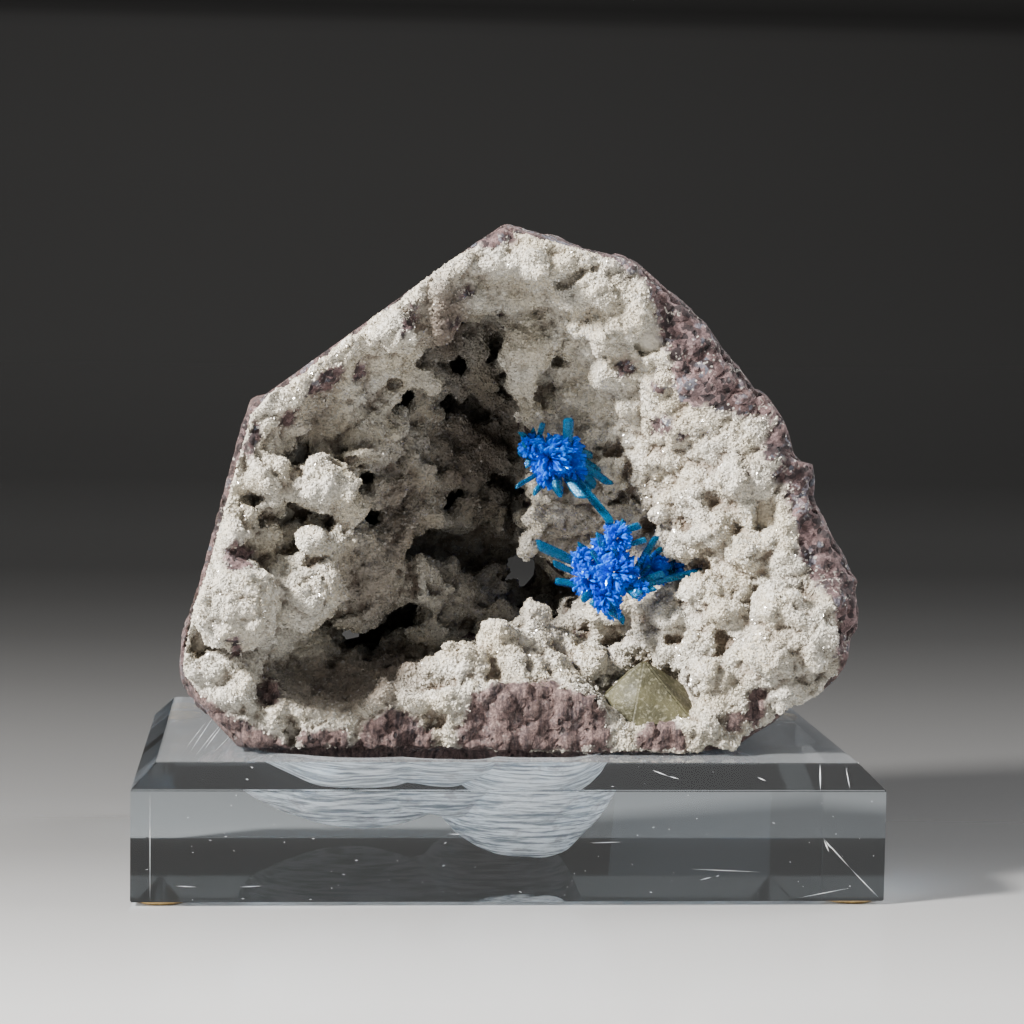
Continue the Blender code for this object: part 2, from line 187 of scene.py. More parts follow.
class Finish(Graph):
    """A material with one Principled shader, and patterns in millimetres on the object's own coordinates."""

    def __init__(self, name, constants=None):
        self.material = bpy.data.materials.new(name)
        self.material.use_nodes = True
        super().__init__(self.material.node_tree)
        self.tree.nodes.clear()
        self.place = self.node("ShaderNodeTexCoord", out="Object")
        self.shader = self.node("ShaderNodeBsdfPrincipled", None, constants)
        output = self.tree.nodes.new("ShaderNodeOutputMaterial")
        self.tree.links.new(self.shader.socket, output.inputs["Surface"])

    def absorbs(self, colour, density):
        """Light is filtered on its way through the volume."""
        filtered = self.node("ShaderNodeVolumeAbsorption", None, {"Color": colour, "Density": density})
        output = next(node for node in self.tree.nodes if node.type == "OUTPUT_MATERIAL")
        self.tree.links.new(filtered.socket, output.inputs["Volume"])

    def feed(self, name, value):
        self.tree.links.new(value.socket, self.shader.socket.node.inputs[name])

    def stretched(self, scale, turn=(0.0, 0.0, 0.0)):
        return self.node("ShaderNodeMapping", None, {"Vector": self.place, "Scale": scale, "Rotation": turn})

    def cloud(self, size, detail=3.0, rough=0.55, place=None, warp=0.0):
        """Noise whose blotches are about size millimetres across."""
        inputs = {"Vector": place or self.place, "Scale": 1000.0 / size, "Detail": detail, "Roughness": rough}
        return self.node("ShaderNodeTexNoise", None, inputs | {"Distortion": warp})

    def cells(self, size, feature="F1", place=None, out="Distance", jitter=1.0):
        """Rounded cells about size millimetres across: zero in the middle of each."""
        inputs = {"Vector": place or self.place, "Scale": 1000.0 / size, "Randomness": jitter}
        return self.node("ShaderNodeTexVoronoi", {"feature": feature}, inputs, out)

    def bend(self, size):
        """A colour noise, centred on zero as a vector, that bends a pattern's coordinates."""
        inputs = {"Vector": self.place, "Scale": 1000.0 / size, "Detail": 2.0}
        colour = self.node("ShaderNodeTexNoise", None, inputs, "Color")
        return self.node("ShaderNodeVectorMath", {"operation": "SUBTRACT"}, {0: colour, 1: (0.5, 0.5, 0.5)})

    def spread(self, value, low, high, to_low=0.0, to_high=1.0):
        """Fades from to_low to to_high as the value goes from low to high."""
        inputs = {"Value": value, "From Min": low, "From Max": high, "To Min": to_low, "To Max": to_high}
        return self.node("ShaderNodeMapRange", {"interpolation_type": "SMOOTHSTEP"}, inputs)

    def mixed(self, share, first, second):
        inputs = {0: share, 6: first, 7: second}
        return self.node("ShaderNodeMix", {"data_type": "RGBA"}, inputs, 2)

    def attribute(self, name):
        return self.node("ShaderNodeAttribute", {"attribute_name": name}, None, "Fac")

    def bumped(self, height, distance, strength=1.0, below=None):
        inputs = {"Height": height, "Distance": distance * MM, "Strength": strength}
        if below:
            inputs["Normal"] = below
        return self.node("ShaderNodeBump", None, inputs)


print("node helpers are ready")

# %% [markdown]
# ## The stage
# The specimen stands on a pale glossy table that runs back into a dark backdrop. One curved sheet does both, as
# in a photographer's studio. Its colour fades from pale in front to charcoal behind, which is painted light
# falling off towards the back. A strong lamp from the left rakes across the crystals, and a wide soft one keeps
# the shadows open.

# %% Stage
SWEEP_FRONT, SWEEP_FLAT, SWEEP_WALL, SWEEP_TOP = -1.2, 0.9, 1.5, 1.6
SWEEP_HALF_WIDTH = 2.2
SWEEP_STEPS = 12


def make_sweep():
    """A floor that curves up into a wall."""
    radius = SWEEP_WALL - SWEEP_FLAT
    profile = [(SWEEP_FRONT, 0.0)]
    for step in range(SWEEP_STEPS + 1):
        turned = math.pi / 2 * step / SWEEP_STEPS
        profile.append((SWEEP_FLAT + radius * math.sin(turned), radius * (1 - math.cos(turned))))
    profile.append((SWEEP_WALL, SWEEP_TOP))
    shape = bmesh.new()
    rows = [[shape.verts.new((side * SWEEP_HALF_WIDTH, y, z)) for side in (-1, 1)] for y, z in profile]
    for near, far in zip(rows, rows[1:]):
        shape.faces.new((near[0], near[1], far[1], far[0]))
    mesh = bpy.data.meshes.new("sweep")
    shape.to_mesh(mesh)
    shape.free()
    mesh.shade_smooth()
    return mesh


sweep_finish = Finish("sweep_paint", {"Roughness": 0.16, "IOR": 1.45})
back_and_forth = sweep_finish.node("ShaderNodeSeparateXYZ", None, {"Vector": sweep_finish.place}, "Y")
height = sweep_finish.node("ShaderNodeSeparateXYZ", None, {"Vector": sweep_finish.place}, "Z")
# Painted light: the grey of the sheet at each distance back stands in for the light falling off behind the stand.
PAINTED_LIGHT_FADE = (
    (-0.09, 176), (-0.03, 144), (0.005, 118), (0.05, 103), (0.09, 95), (0.14, 86), (0.20, 74), (0.28, 60),
    (0.37, 50), (0.46, 43), (0.60, 50), (1.20, 60), (1.645, 57), (1.665, 36), (1.70, 48), (1.74, 62), (1.80, 40),
    (2.20, 26),
)
FADE_FRONT, FADE_BACK = -0.2, 2.6
share = sweep_finish.node(
    "ShaderNodeMapRange", None, {"Value": back_and_forth + height, "From Min": FADE_FRONT, "From Max": FADE_BACK},
)
stops = [((y - FADE_FRONT) / (FADE_BACK - FADE_FRONT), tone(grey, grey, grey)) for y, grey in PAINTED_LIGHT_FADE]
sweep_finish.feed("Base Color", sweep_finish.node("ShaderNodeValToRGB", {"stops": stops}, {"Fac": share}))
sweep = bpy.data.objects.new("sweep", make_sweep())
sweep.data.materials.append(sweep_finish.material)
bpy.context.scene.collection.objects.link(sweep)

# %% Lamps and world
def add_lamp(name, place, target, size, watts, colour=(1.0, 1.0, 1.0)):
    """A square soft lamp that faces its target."""
    lamp = bpy.data.objects.new(name, bpy.data.lights.new(name, "AREA"))
    lamp.data.size = size
    lamp.data.energy = watts
    lamp.data.color = colour
    lamp.location = place
    lamp.rotation_euler = (Vector(target) - Vector(place)).to_track_quat("-Z", "Y").to_euler()
    bpy.context.scene.collection.objects.link(lamp)
    return lamp


add_lamp("key", (-0.60, -0.29, 0.50), (0.0, -0.01, 0.06), 0.11, 36.0, (1.0, 0.97, 0.93))
add_lamp("table_light", (0.14, -0.32, 0.9), (0.05, -0.2, 0.0), 0.7, 2.4)
add_lamp("side_light", (0.62, 0.14, 0.45), (0.11, 0.03, 0.0), 0.45, 10.0)
add_lamp("fill", (0.35, -0.8, 0.25), (0.0, 0.0, 0.05), 0.5, 0.5, (0.85, 0.92, 1.0))
world = bpy.data.worlds.new("studio")
world.use_nodes = True
world.node_tree.nodes["Background"].inputs["Color"].default_value = tone(120, 120, 122)
world.node_tree.nodes["Background"].inputs["Strength"].default_value = 0.16
bpy.context.scene.world = world
print("stage and lamps are set")

# %% [markdown]
# ## Copies of the CAD shapes
# A CAD mesh is loose triangles and may not be changed, so each rough surface starts from a copy whose triangles
# are merged. A voxel remesh then gives even small faces, which noise can move. The same remesh melts rounded
# lumps into the crust they sit on, which is how the real crust looks.


# %% Mesh helpers
def merged_copy(node):
    """A bmesh of a CAD node, its loose triangles joined."""
    shape = bmesh.new()
    shape.from_mesh(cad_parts[node].data)
    bmesh.ops.remove_doubles(shape, verts=shape.verts, dist=1e-6)
    return shape


def piece_from(name, shape, *finishes):
    """A new object at the origin from a bmesh, with its materials."""
    mesh = bpy.data.meshes.new(name)
    shape.to_mesh(mesh)
    shape.free()
    piece = bpy.data.objects.new(name, mesh)
    bpy.context.scene.collection.objects.link(piece)
    for finish in finishes:
        mesh.materials.append(finish.material)
    return piece


def settle(piece):
    """Turns an object's modifiers into its plain mesh."""
    graph = bpy.context.evaluated_depsgraph_get()
    mesh = bpy.data.meshes.new_from_object(piece.evaluated_get(graph))
    piece.modifiers.clear()
    old = piece.data
    piece.data = mesh
    bpy.data.meshes.remove(old)
    mesh.name = piece.name
    return piece


def remeshed(piece, voxel):
    """Melts overlapping closed shapes into one skin of small even faces."""
    modifier = piece.modifiers.new("skin", "REMESH")
    modifier.mode = "VOXEL"
    modifier.voxel_size = voxel * MM
    return settle(piece)


def places_of(mesh):
    places = np.empty(len(mesh.vertices) * 3)
    mesh.vertices.foreach_get("co", places)
    return places.reshape(-1, 3)


def outwards_of(mesh):
    outwards = np.empty(len(mesh.vertices) * 3)
    mesh.vertex_normals.foreach_get("vector", outwards)
    return outwards.reshape(-1, 3)


def set_places(mesh, places):
    mesh.vertices.foreach_set("co", places.ravel())
    mesh.update()


def store(mesh, name, values):
    attribute = mesh.attributes.new(name, "FLOAT", "POINT")
    attribute.data.foreach_set("value", values.astype(np.float32))


def waves(places, size, octaves=1, seed=0.0):
    """Smooth noise at each place, from -1 to 1, with waves about size millimetres long."""
    shift = Vector((seed, seed * 1.7, -seed))
    scale = 1.0 / (size * MM)
    if octaves == 1:
        return np.array([noise.noise(Vector(place) * scale + shift) for place in places])
    return np.array([noise.fractal(Vector(place) * scale + shift, 0.6, 2.1, octaves) for place in places])


def pebbles(places, size, seed=0.0):
    """Round domes with narrow creases between them, 0 in a crease and 1 on top, about size millimetres across."""
    shift = Vector((seed, -seed, seed * 0.7))
    scale = 1.0 / (size * MM)
    height = np.empty(len(places))
    for index, place in enumerate(places):
        near = noise.voronoi(Vector(place) * scale + shift)[0]
        height[index] = near[1] - near[0]
    height = np.clip(height / 0.55, 0.0, 1.0)
    return np.sqrt(height * (2 - height))


def inside_by(pixels, outline):
    """How many pixels each point is inside an outline. Outside it the answer is negative."""
    corners = np.array(outline, float)
    nearest = np.full(len(pixels), 1e9)
    within = np.zeros(len(pixels), bool)
    for start, end in zip(corners, np.roll(corners, -1, axis=0)):
        run = end - start
        along = np.clip(((pixels - start) @ run) / max(run @ run, 1e-9), 0.0, 1.0)
        nearest = np.minimum(nearest, np.linalg.norm(pixels - start - along[:, None] * run, axis=1))
        crosses = (start[1] > pixels[:, 1]) != (end[1] > pixels[:, 1])
        rise = end[1] - start[1] if end[1] != start[1] else 1e-9
        within ^= crosses & (pixels[:, 0] < run[0] * (pixels[:, 1] - start[1]) / rise + start[0])
    return np.where(within, nearest, -nearest)


def triangles(piece):
    return sum(len(face.vertices) - 2 for face in piece.data.polygons)


lining = merged_copy("druse_lining")
lining_tree = BVHTree.FromBMesh(lining)
basalt = merged_copy("basalt_matrix")
basalt_tree = BVHTree.FromBMesh(basalt)
RIM_Y = -25.5


def on_lining(px, py):
    """The point of the crust that is seen at a pixel, and the way it faces."""
    hit, facing, _, _ = lining_tree.ray_cast(CAMERA_PLACE, sight(px, py))
    if hit is None:
        return at_depth(px, py, RIM_Y), Vector((0.0, -1.0, 0.0))
    return hit, facing


# %% [markdown]
# ## The outline of the sawn rock
# The CAD rim is a polygon of a few corners. The picture shows more of them, so the rock and its crust are
# stretched a little, outwards from the middle of the hollow, until the rim follows the finer outline. The crust
# is also trimmed at this line, because the saw cut rock and crust together.

# %% Outline
HOLLOW_MIDDLE = (462.0, 490.0)
CAD_RIM = (
    (-46.7, 32.3), (-46.0, 35.9), (-37.8, 68.3), (-2.6, 94.7), (17.8, 89.3), (31.5, 74.1), (39.6, 65.6),
    (44.2, 55.0), (49.5, 43.6), (50.0, 36.4), (41.9, 26.2), (30.5, 19.9), (-37.9, 19.9), (-46.3, 28.8),
)
CAD_RIM_DEPTH = -24.5
# The broken corner under the left saw cut hardly stands out past this x in millimetres.
LEFTMOST, LEFT_SQUEEZE = -46.2, 0.25
OUTLINE = (
    (176, 668), (179, 651), (187, 609), (198, 579), (220, 496), (243, 412), (370, 318), (497, 225), (528, 236), (566, 248),
    (610, 259), (639, 268), (671, 298), (704, 327), (722, 352), (738, 374), (752, 391), (765, 397), (781, 420), (788, 438),
    (791, 454), (799, 462), (810, 464), (812, 480), (811, 500), (820, 521), (833, 543), (846, 569), (855, 579),
    (857, 614), (854, 637), (842, 666), (834, 678), (817, 692), (776, 718), (741, 740), (729, 752), (240, 750),
    (208, 715), (192, 695), (178, 681),
)
STRETCH_FROM = 0.72
# The remesh rounds the rim off, so it is drawn this many pixels further out, on the right where it is rough.
RIM_GROWTH = 4.0


def radius_at(outline, turns):
    """How far an outline is from the middle of the hollow, in pixels, along each turn."""
    corners = np.array(outline, float) - np.array(HOLLOW_MIDDLE)
    nearest = np.full(len(turns), 1e9)
    ahead = np.stack([np.cos(turns), np.sin(turns)], axis=1)
    for start, end in zip(corners, np.roll(corners, -1, axis=0)):
        run = end - start
        crossing = ahead[:, 1] * run[0] - ahead[:, 0] * run[1]
        crossing = np.where(np.abs(crossing) < 1e-9, 1e-9, crossing)
        reach = (start[1] * run[0] - start[0] * run[1]) / crossing
        along = (ahead[:, 0] * start[1] - ahead[:, 1] * start[0]) / crossing
        reach = np.where((reach > 0) & (along >= -1e-6) & (along <= 1 + 1e-6), reach, 1e9)
        nearest = np.minimum(nearest, reach)
    return nearest


def polar(places):
    """Distance in pixels from the middle of the hollow, the turn round it, and millimetres for each pixel."""
    away = to_pixels(places) - np.array(HOLLOW_MIDDLE)
    forward = (places - np.array(CAMERA_PLACE)) @ np.array(CAMERA_AIM)
    return np.hypot(away[:, 0], away[:, 1]), np.arctan2(away[:, 1], away[:, 0]), forward / FOCAL


def traced_radius(turns):
    """The radius of the rim along each turn, in pixels."""
    return radius_at(OUTLINE, turns) + RIM_GROWTH * np.clip(np.cos(turns) * 3, 0.0, 1.0)


rim_pixels = to_pixels([(x * MM, CAD_RIM_DEPTH * MM, z * MM) for x, z in CAD_RIM])
print("CAD rim and traced outline differ by", [
    round(float(value), 1) for value in
    radius_at(OUTLINE, np.radians(np.arange(0, 360, 30))) - radius_at(rim_pixels, np.radians(np.arange(0, 360, 30)))
], "pixels")


LEFT_TRIM = 7.0


def left_share(turns):
    """1 on the left side of the rim, where a strip of sawn rock shows beside the crust, 0 elsewhere."""
    degrees = np.degrees(turns) % 360
    return np.clip((degrees - 135) / 10, 0.0, 1.0) * np.clip((206 - degrees) / 6, 0.0, 1.0)


def stretched_to_outline(places, trim=None):
    """Moves points in the picture plane so that the CAD rim comes to lie on the traced outline."""
    radius, turns, size = polar(places)
    cad, traced = radius_at(rim_pixels, turns), traced_radius(turns)
    near_rim = np.clip((radius / cad - STRETCH_FROM) / (1 - STRETCH_FROM), 0.0, 1.0)
    near_rim = near_rim * near_rim * (3 - 2 * near_rim)
    wanted = radius * (1 + (traced / cad - 1) * near_rim)
    if trim is not None:
        wanted = np.minimum(wanted, traced - trim - LEFT_TRIM * left_share(turns))
    shift = (wanted - radius) * size
    moved = places + np.outer(shift * np.cos(turns), np.array(right)) - np.outer(shift * np.sin(turns), np.array(up))
    moved[:, 1] = places[:, 1]
    return moved


def trimmed(places, trim):
    """Moves points that lie outside the rim back to it, less the trim in pixels."""
    radius, turns, size = polar(places)
    shift = np.minimum(0.0, traced_radius(turns) - trim - LEFT_TRIM * left_share(turns) - radius) * size
    moved = places + np.outer(shift * np.cos(turns), np.array(right)) - np.outer(shift * np.sin(turns), np.array(up))
    moved[:, 1] = places[:, 1]
    return moved


# %% [markdown]
# ## Holes and crevices
# Gas holes and gaps between the lumps are dark in the picture. Each is a place and two radii in pixels, a tilt
# in degrees and a depth in millimetres. The surface is pushed back along the line of sight there, on the crust
# and on the rock behind it alike, so that neither shows through the other.

# %% Hollows to push in
HOLES = (
    (572, 278, 15, 6, -22, 4.0), (556, 360, 9, 8, 0, 4.5), (563, 341, 4, 9, 20, 2.5), (648, 346, 12, 11, 0, 5.5),
    (298, 458, 9, 18, 20, 6.0), (251, 498, 10, 7, 20, 5.5), (286, 514, 27, 11, -8, 6.0), (201, 641, 13, 12, 0, 4.5),
    (763, 518, 10, 17, 15, 5.5), (757, 597, 10, 12, 30, 3.5), (723, 643, 11, 13, 0, 3.5), (612, 448, 20, 6, 5, 3.5),
    (634, 494, 5, 12, -30, 3.0), (618, 500, 12, 4, -25, 3.0), (292, 732, 7, 15, 0, 3.5), (437, 722, 10, 10, 0, 2.5),
    (405, 600, 12, 34, 10, 5.0), (630, 472, 10, 12, 0, 3.0), (664, 570, 26, 14, 5, 6.0),
    (672, 690, 14, 5, -10, 3.0), (600, 684, 14, 5, 20, 2.0), (262, 692, 12, 14, 0, 3.0), (690, 566, 16, 10, 0, 4.0),
    (395, 500, 10, 40, 0, 3.0), (566, 596, 16, 16, 0, 3.0), (352, 462, 22, 5, 0, 2.5),
    (345, 613, 30, 6, -20, 3.0), (316, 560, 12, 8, 0, 2.5), (650, 525, 7, 12, -30, 2.5), (742, 530, 10, 6, 20, 2.0),
    (700, 605, 12, 5, 30, 2.0), (676, 640, 12, 6, 0, 2.5), (618, 640, 20, 5, -10, 2.5), (585, 636, 5, 12, 0, 2.5),
    (649, 694, 46, 26, 0, 9.0), (392, 630, 22, 30, 0, 3.0),
)
HOLE_FRONT = 20.0
HOLE_SHARE = 0.7


def pushed_in(places):
    """Pushes the front of a surface back, away from the camera, inside each hole."""
    pixels = to_pixels(places)
    depth = np.zeros(len(places))
    ragged = 1 + 0.5 * waves(places, 1.8, 2, 31.0)
    for px, py, wide, high, tilt, deep in HOLES:
        away = pixels - (px, py)
        turned = math.radians(tilt)
        first = (away[:, 0] * math.cos(turned) + away[:, 1] * math.sin(turned)) / wide
        second = (away[:, 1] * math.cos(turned) - away[:, 0] * math.sin(turned)) / high
        share = np.clip((1.6 - (first ** 2 + second ** 2) * ragged) / 1.5, 0.0, 1.0)
        depth = np.maximum(depth, HOLE_SHARE * deep * share * share * (3 - 2 * share))
    depth = depth * (places[:, 1] < HOLE_FRONT * MM)
    ahead = places - np.array(CAMERA_PLACE)
    ahead /= np.linalg.norm(ahead, axis=1)[:, None]
    return places + ahead * (depth * MM)[:, None]


# Daylight shows through two gaps in the back wall: the pixel of each, its radii in pixels and its tilt.
WINDOWS = ((514, 573, 17, 6, -38), (351, 643, 13, 6, -25))
WINDOW_FRONT = -13.0


def opened(places):
    """Pushes the surface aside where daylight shows through the back wall."""
    places = places.copy()
    ragged = 1 + 0.3 * waves(places, 2.0, 2, 17.0)
    for px, py, wide, high, tilt in WINDOWS:
        turned = math.radians(tilt)
        turn = np.array(((math.cos(turned), -math.sin(turned)), (math.sin(turned), math.cos(turned))))
        away = (to_pixels(places) - (px, py)) @ turn / (wide, high)
        radius = np.linalg.norm(away, axis=1) * ragged
        inside = (radius < 1.0) & (places[:, 1] > WINDOW_FRONT * MM)
        size = ((places - np.array(CAMERA_PLACE)) @ np.array(CAMERA_AIM)) / FOCAL
        push = np.where(inside, 1.0 / np.maximum(radius, 0.05) - 1.0, 0.0)
        shift = (away * (wide, high) * (push * size)[:, None]) @ turn.T
        places += np.outer(shift[:, 0], np.array(right)) - np.outer(shift[:, 1], np.array(up))
    return places


print(len(HOLES), "holes and crevices")

# %% [markdown]
# ## Where bare basalt shows
# The crust is broken or sawn away in places, and the dark rock shows. Each patch is an outline in the picture.
# The outlines are used twice: no crystals grow inside them, and the finish changes from crust to basalt there.

# %% Bare patches
BARE_PATCHES = {
    "peak": ((470, 244), (497, 210), (524, 216), (512, 244), (494, 251)),
    "upper_left_edge": ((305, 396), (322, 372), (343, 362), (345, 374), (330, 392), (316, 399)),
    "upper_left_dark": ((350, 381), (356, 362), (369, 358), (368, 372), (358, 384)),
    "streak": ((398, 336), (404, 318), (412, 302), (419, 308), (414, 326), (405, 338)),
    "nose_spot": ((458, 292), (470, 284), (477, 291), (471, 299), (460, 299)),
    "nose_low_spot": ((446, 322), (460, 318), (463, 326), (452, 332)),
    "cut_blade": ((244, 455), (247, 432), (256, 420), (264, 428), (258, 446), (250, 458)),
    "cut_dark": ((272, 428), (282, 412), (298, 409), (294, 424), (280, 432)),
    "left_pit": ((222, 552), (236, 539), (256, 548), (252, 566), (236, 574), (225, 568)),
    "left_crescent": ((226, 640), (238, 634), (245, 644), (240, 658), (230, 660)),
    "left_hollow": ((258, 690), (270, 676), (283, 684), (280, 702), (264, 708)),
    "foot_left": ((297, 750), (300, 732), (322, 727), (349, 734), (352, 750)),
    "foot_peak": ((345, 752), (362, 728), (392, 706), (408, 712), (432, 730), (438, 752)),
    "foot_middle": (
        (455, 752), (460, 722), (470, 694), (492, 684), (522, 681), (556, 680), (578, 692), (596, 694), (609, 716),
        (612, 752),
    ),
    "foot_right": ((634, 752), (636, 730), (654, 715), (676, 722), (688, 736), (690, 752)),
    "foot_streaked": ((722, 730), (728, 714), (742, 710), (746, 722), (736, 734)),
    "foot_wedge": ((744, 724), (748, 700), (760, 688), (770, 696), (766, 716), (756, 728)),
    "chamfer": ((176, 690), (192, 690), (212, 700), (232, 716), (262, 728), (290, 742), (296, 756), (230, 756)),
    "upper_right_band": (
        (606, 224), (664, 248), (716, 300), (752, 358), (790, 396), (784, 420), (752, 420), (726, 416), (704, 408),
        (682, 404), (668, 388), (672, 364), (660, 344), (654, 318), (650, 292), (640, 278), (618, 266), (604, 256),
    ),
    "spot_right_1": ((613, 366), (624, 352), (637, 360), (632, 374), (618, 376)),
    "spot_right_2": ((650, 384), (659, 380), (664, 392), (655, 397)),
    "spot_right_3": ((648, 432), (652, 416), (668, 412), (674, 426), (664, 438), (654, 438)),
    "spot_right_4": ((675, 440), (680, 430), (686, 436), (681, 443)),
    "chunk": ((762, 456), (768, 430), (782, 414), (802, 436), (800, 456), (770, 464)),
    "right_knob": ((772, 474), (786, 456), (808, 448), (826, 468), (812, 490), (782, 488)),
    "right_flank": (
        (782, 484), (812, 480), (834, 500), (844, 530), (858, 556), (874, 584), (880, 614), (868, 656), (850, 684),
        (834, 672), (836, 640), (838, 614), (824, 592), (810, 578), (798, 552), (794, 520), (784, 502),
    ),
}


def bare_share(places, outwards=None):
    """1 where a point lies on bare rock, 0 where it lies on the crust, with a ragged edge between."""
    pixels = to_pixels(places)
    ragged = 5.0 * waves(places, 1.4, 2, 3.0)
    deepest = np.full(len(places), -1e9)
    for outline in BARE_PATCHES.values():
        deepest = np.maximum(deepest, inside_by(pixels, outline))
    return np.clip((deepest + ragged) / 3.0 + 0.5, 0.0, 1.0)


print(len(BARE_PATCHES), "bare patches")

# %% [markdown]
# ## Basalt finish
# The basalt is purple-brown with pale specks, blue-grey blotches and dark holes where gas bubbles were. Three
# layers of noise give the colour, and round cells make the holes and the specks, so it holds up at any scale.


# %% Basalt finish
def basalt_colours(finish):
    """The colour of the rock, the share of pits in it and its fine height."""
    broad = finish.spread(finish.cloud(7.0, 3.0, 0.6), 0.38, 0.64)
    colour = finish.mixed(broad, tone(58, 42, 43), tone(108, 84, 82))
    bent = finish.node(
        "ShaderNodeVectorMath", {"operation": "MULTIPLY_ADD"},
        {0: finish.bend(2.5), 1: (0.0011, 0.0011, 0.0011), 2: finish.place},
    )
    chips = finish.cells(0.8, place=bent, out="Color")
    first = finish.node("ShaderNodeSeparateColor", None, {"Color": chips}, "Red")
    second = finish.node("ShaderNodeSeparateColor", None, {"Color": chips}, "Green")
    colour = finish.mixed(finish.spread(first, 0.55, 0.8) * 0.6, colour, tone(146, 120, 120))
    colour = finish.mixed(finish.spread(first, 0.15, 0.4, 1.0, 0.0) * 0.8, colour, tone(32, 24, 27))
    bluish = finish.spread(second, 0.68, 0.78) * finish.spread(finish.cloud(4.0, 3.0), 0.48, 0.58)
    colour = finish.mixed(bluish * 0.6, colour, tone(122, 128, 142))
    seams = finish.spread(finish.cells(1.1, "DISTANCE_TO_EDGE", bent), 0.02, 0.14, 0.7, 0.0)
    seams = seams * finish.spread(finish.cloud(0.7, 2.0), 0.5, 0.56)
    seams = seams * finish.spread(finish.cloud(4.2, 3.0, 0.6), 0.52, 0.64)
    colour = finish.mixed(seams, colour, tone(204, 198, 188))
    strewn = finish.spread(finish.cloud(4.0, 3.0), 0.47, 0.6)
    specks = finish.spread(finish.cells(0.75, place=bent), 0.16, 0.32, 1.0, 0.0) * strewn
    colour = finish.mixed(specks, colour, tone(222, 217, 208))
    saw_lines = finish.cloud(0.8, 4.0, 0.7, finish.stretched((1.0, 1.0, 0.07)))
    sawn = finish.attribute("sawn")
    streaked = finish.mixed(finish.spread(saw_lines, 0.34, 0.66), tone(50, 37, 38), tone(146, 120, 114))
    colour = finish.mixed(sawn * 0.85, colour, streaked)
    pits = finish.spread(finish.cells(1.5, place=finish.stretched((1.0, 1.0, 0.7))), 0.13, 0.26, 1.0, 0.0)
    pits = pits * finish.spread(finish.cloud(6.0, 2.0), 0.46, 0.56)
    colour = finish.mixed(pits * 0.9, colour, tone(24, 18, 20))
    grain = finish.cloud(0.35, 4.0, 0.8)
    dusk = finish.mixed(0.65, colour, tone(30, 22, 25))
    colour = finish.mixed(finish.spread(grain, 0.38, 0.62), dusk, colour)
    return colour, pits, grain + saw_lines * sawn * 0.8


basalt_finish = Finish("basalt_rock", {"IOR": 1.5})
rock_colour, rock_holes, rock_grain = basalt_colours(basalt_finish)
basalt_finish.feed("Base Color", rock_colour)
basalt_finish.feed("Roughness", basalt_finish.spread(rock_grain, 0.3, 0.7, 0.95, 0.6))
rock_height = rock_grain * 0.5 - rock_holes + basalt_finish.cloud(1.6, 3.0) * 0.6
basalt_finish.feed("Normal", basalt_finish.bumped(rock_height, 0.8))

# %% [markdown]
# ## The rock
# The outside of the block is partly sawn flat and partly broken. The upper left and the left side are saw cuts,
# where only fine ripples are left, and everywhere else waves of four sizes and round gas holes make it rough.
# The front rim keeps its outline, because the picture gives it exactly.

# %% Rock
ROCK_VOXEL = 0.66
# Each saw cut: two points x, z in millimetres on its plane, then how far it flares out at the back.
SAW_CUTS = (((-37.1, 68.8), (-0.8, 95.3), -1.1), ((-45.7, 35.9), (-37.1, 68.8), 0.1))
CUT_REACH = 4.5
RIM_DEPTH = -24.5


def cut_distance(places, start, end):
    """How far points lie outside a saw cut in millimetres, where along it they are, and its outward direction."""
    start, end = np.array(start) * MM, np.array(end) * MM
    length = np.linalg.norm(end - start)
    run = (end - start) / length
    outside = np.array([-run[1], run[0]])
    away = places[:, [0, 2]] - start
    return away @ outside / MM, away @ run / length, outside


def sawn_share(places):
    """1 on the sawn sides of the rock, 0 away from them."""
    share = np.zeros(len(places))
    for start, end, _ in SAW_CUTS:
        distance, along, _ = cut_distance(places, start, end)
        near = np.clip((CUT_REACH - np.abs(distance)) / 1.5, 0.0, 1.0)
        share = np.maximum(share, near * np.clip(np.minimum(along, 1 - along) * 25 + 0.5, 0.0, 1.0))
    return share


def flattened(places, outwards):
    """Pulls the sides next to the saw cuts onto their planes."""
    places = places.copy()
    behind = places[:, 1] / MM - RIM_DEPTH
    for start, end, flare in SAW_CUTS:
        distance, along, outside = cut_distance(places, start, end)
        faces_out = np.clip(outwards[:, [0, 2]] @ outside * 3 - 0.9, 0.0, 1.0)
        share = faces_out * np.clip((CUT_REACH - np.abs(distance)) / 1.5, 0.0, 1.0) * np.clip(behind / 1.5, 0.0, 1.0)
        share *= np.clip(np.minimum(along, 1 - along) * 25 + 0.5, 0.0, 1.0)
        wanted = flare * np.clip(behind / 20.0, 0.0, 1.0)
        places[:, [0, 2]] += np.outer(share * (wanted - distance) * MM, outside)
    return places


rock = remeshed(piece_from("basalt_rock", basalt, basalt_finish), ROCK_VOXEL)
places = stretched_to_outline(places_of(rock.data))
faces_front = np.clip((-0.05 - outwards_of(rock.data)[:, 1]) / 0.3, 0.0, 1.0)[:, None]
places = opened(places + (pushed_in(places) - places) * faces_front)
set_places(rock.data, places)
places = flattened(places, outwards_of(rock.data))
set_places(rock.data, places)
outwards = outwards_of(rock.data)
sawn = sawn_share(places) * (np.abs(outwards[:, 1]) < 0.6)
behind_rim = np.clip((places[:, 1] / MM - RIM_DEPTH) / 8.0, 0.15, 1.0)
above_stand = np.clip((places[:, 2] / MM - 20.6) / 2.0, 0.0, 1.0)
rough = (1 - 0.97 * sawn) * behind_rim * above_stand
broken = 0.9 * waves(places, 9.0, 2, 1.0) + 0.9 * (pebbles(places, 5.0, 5.0) - 0.7) + 0.45 * (pebbles(places, 2.4, 3.0) - 0.7)
pits = np.clip(np.abs(waves(places, 4.2, 1, 12.0)) * 3.2 - 1.5, 0.0, 1.0)
places = places + outwards * (rough * (broken - 0.9 * pits) * MM)[:, None]
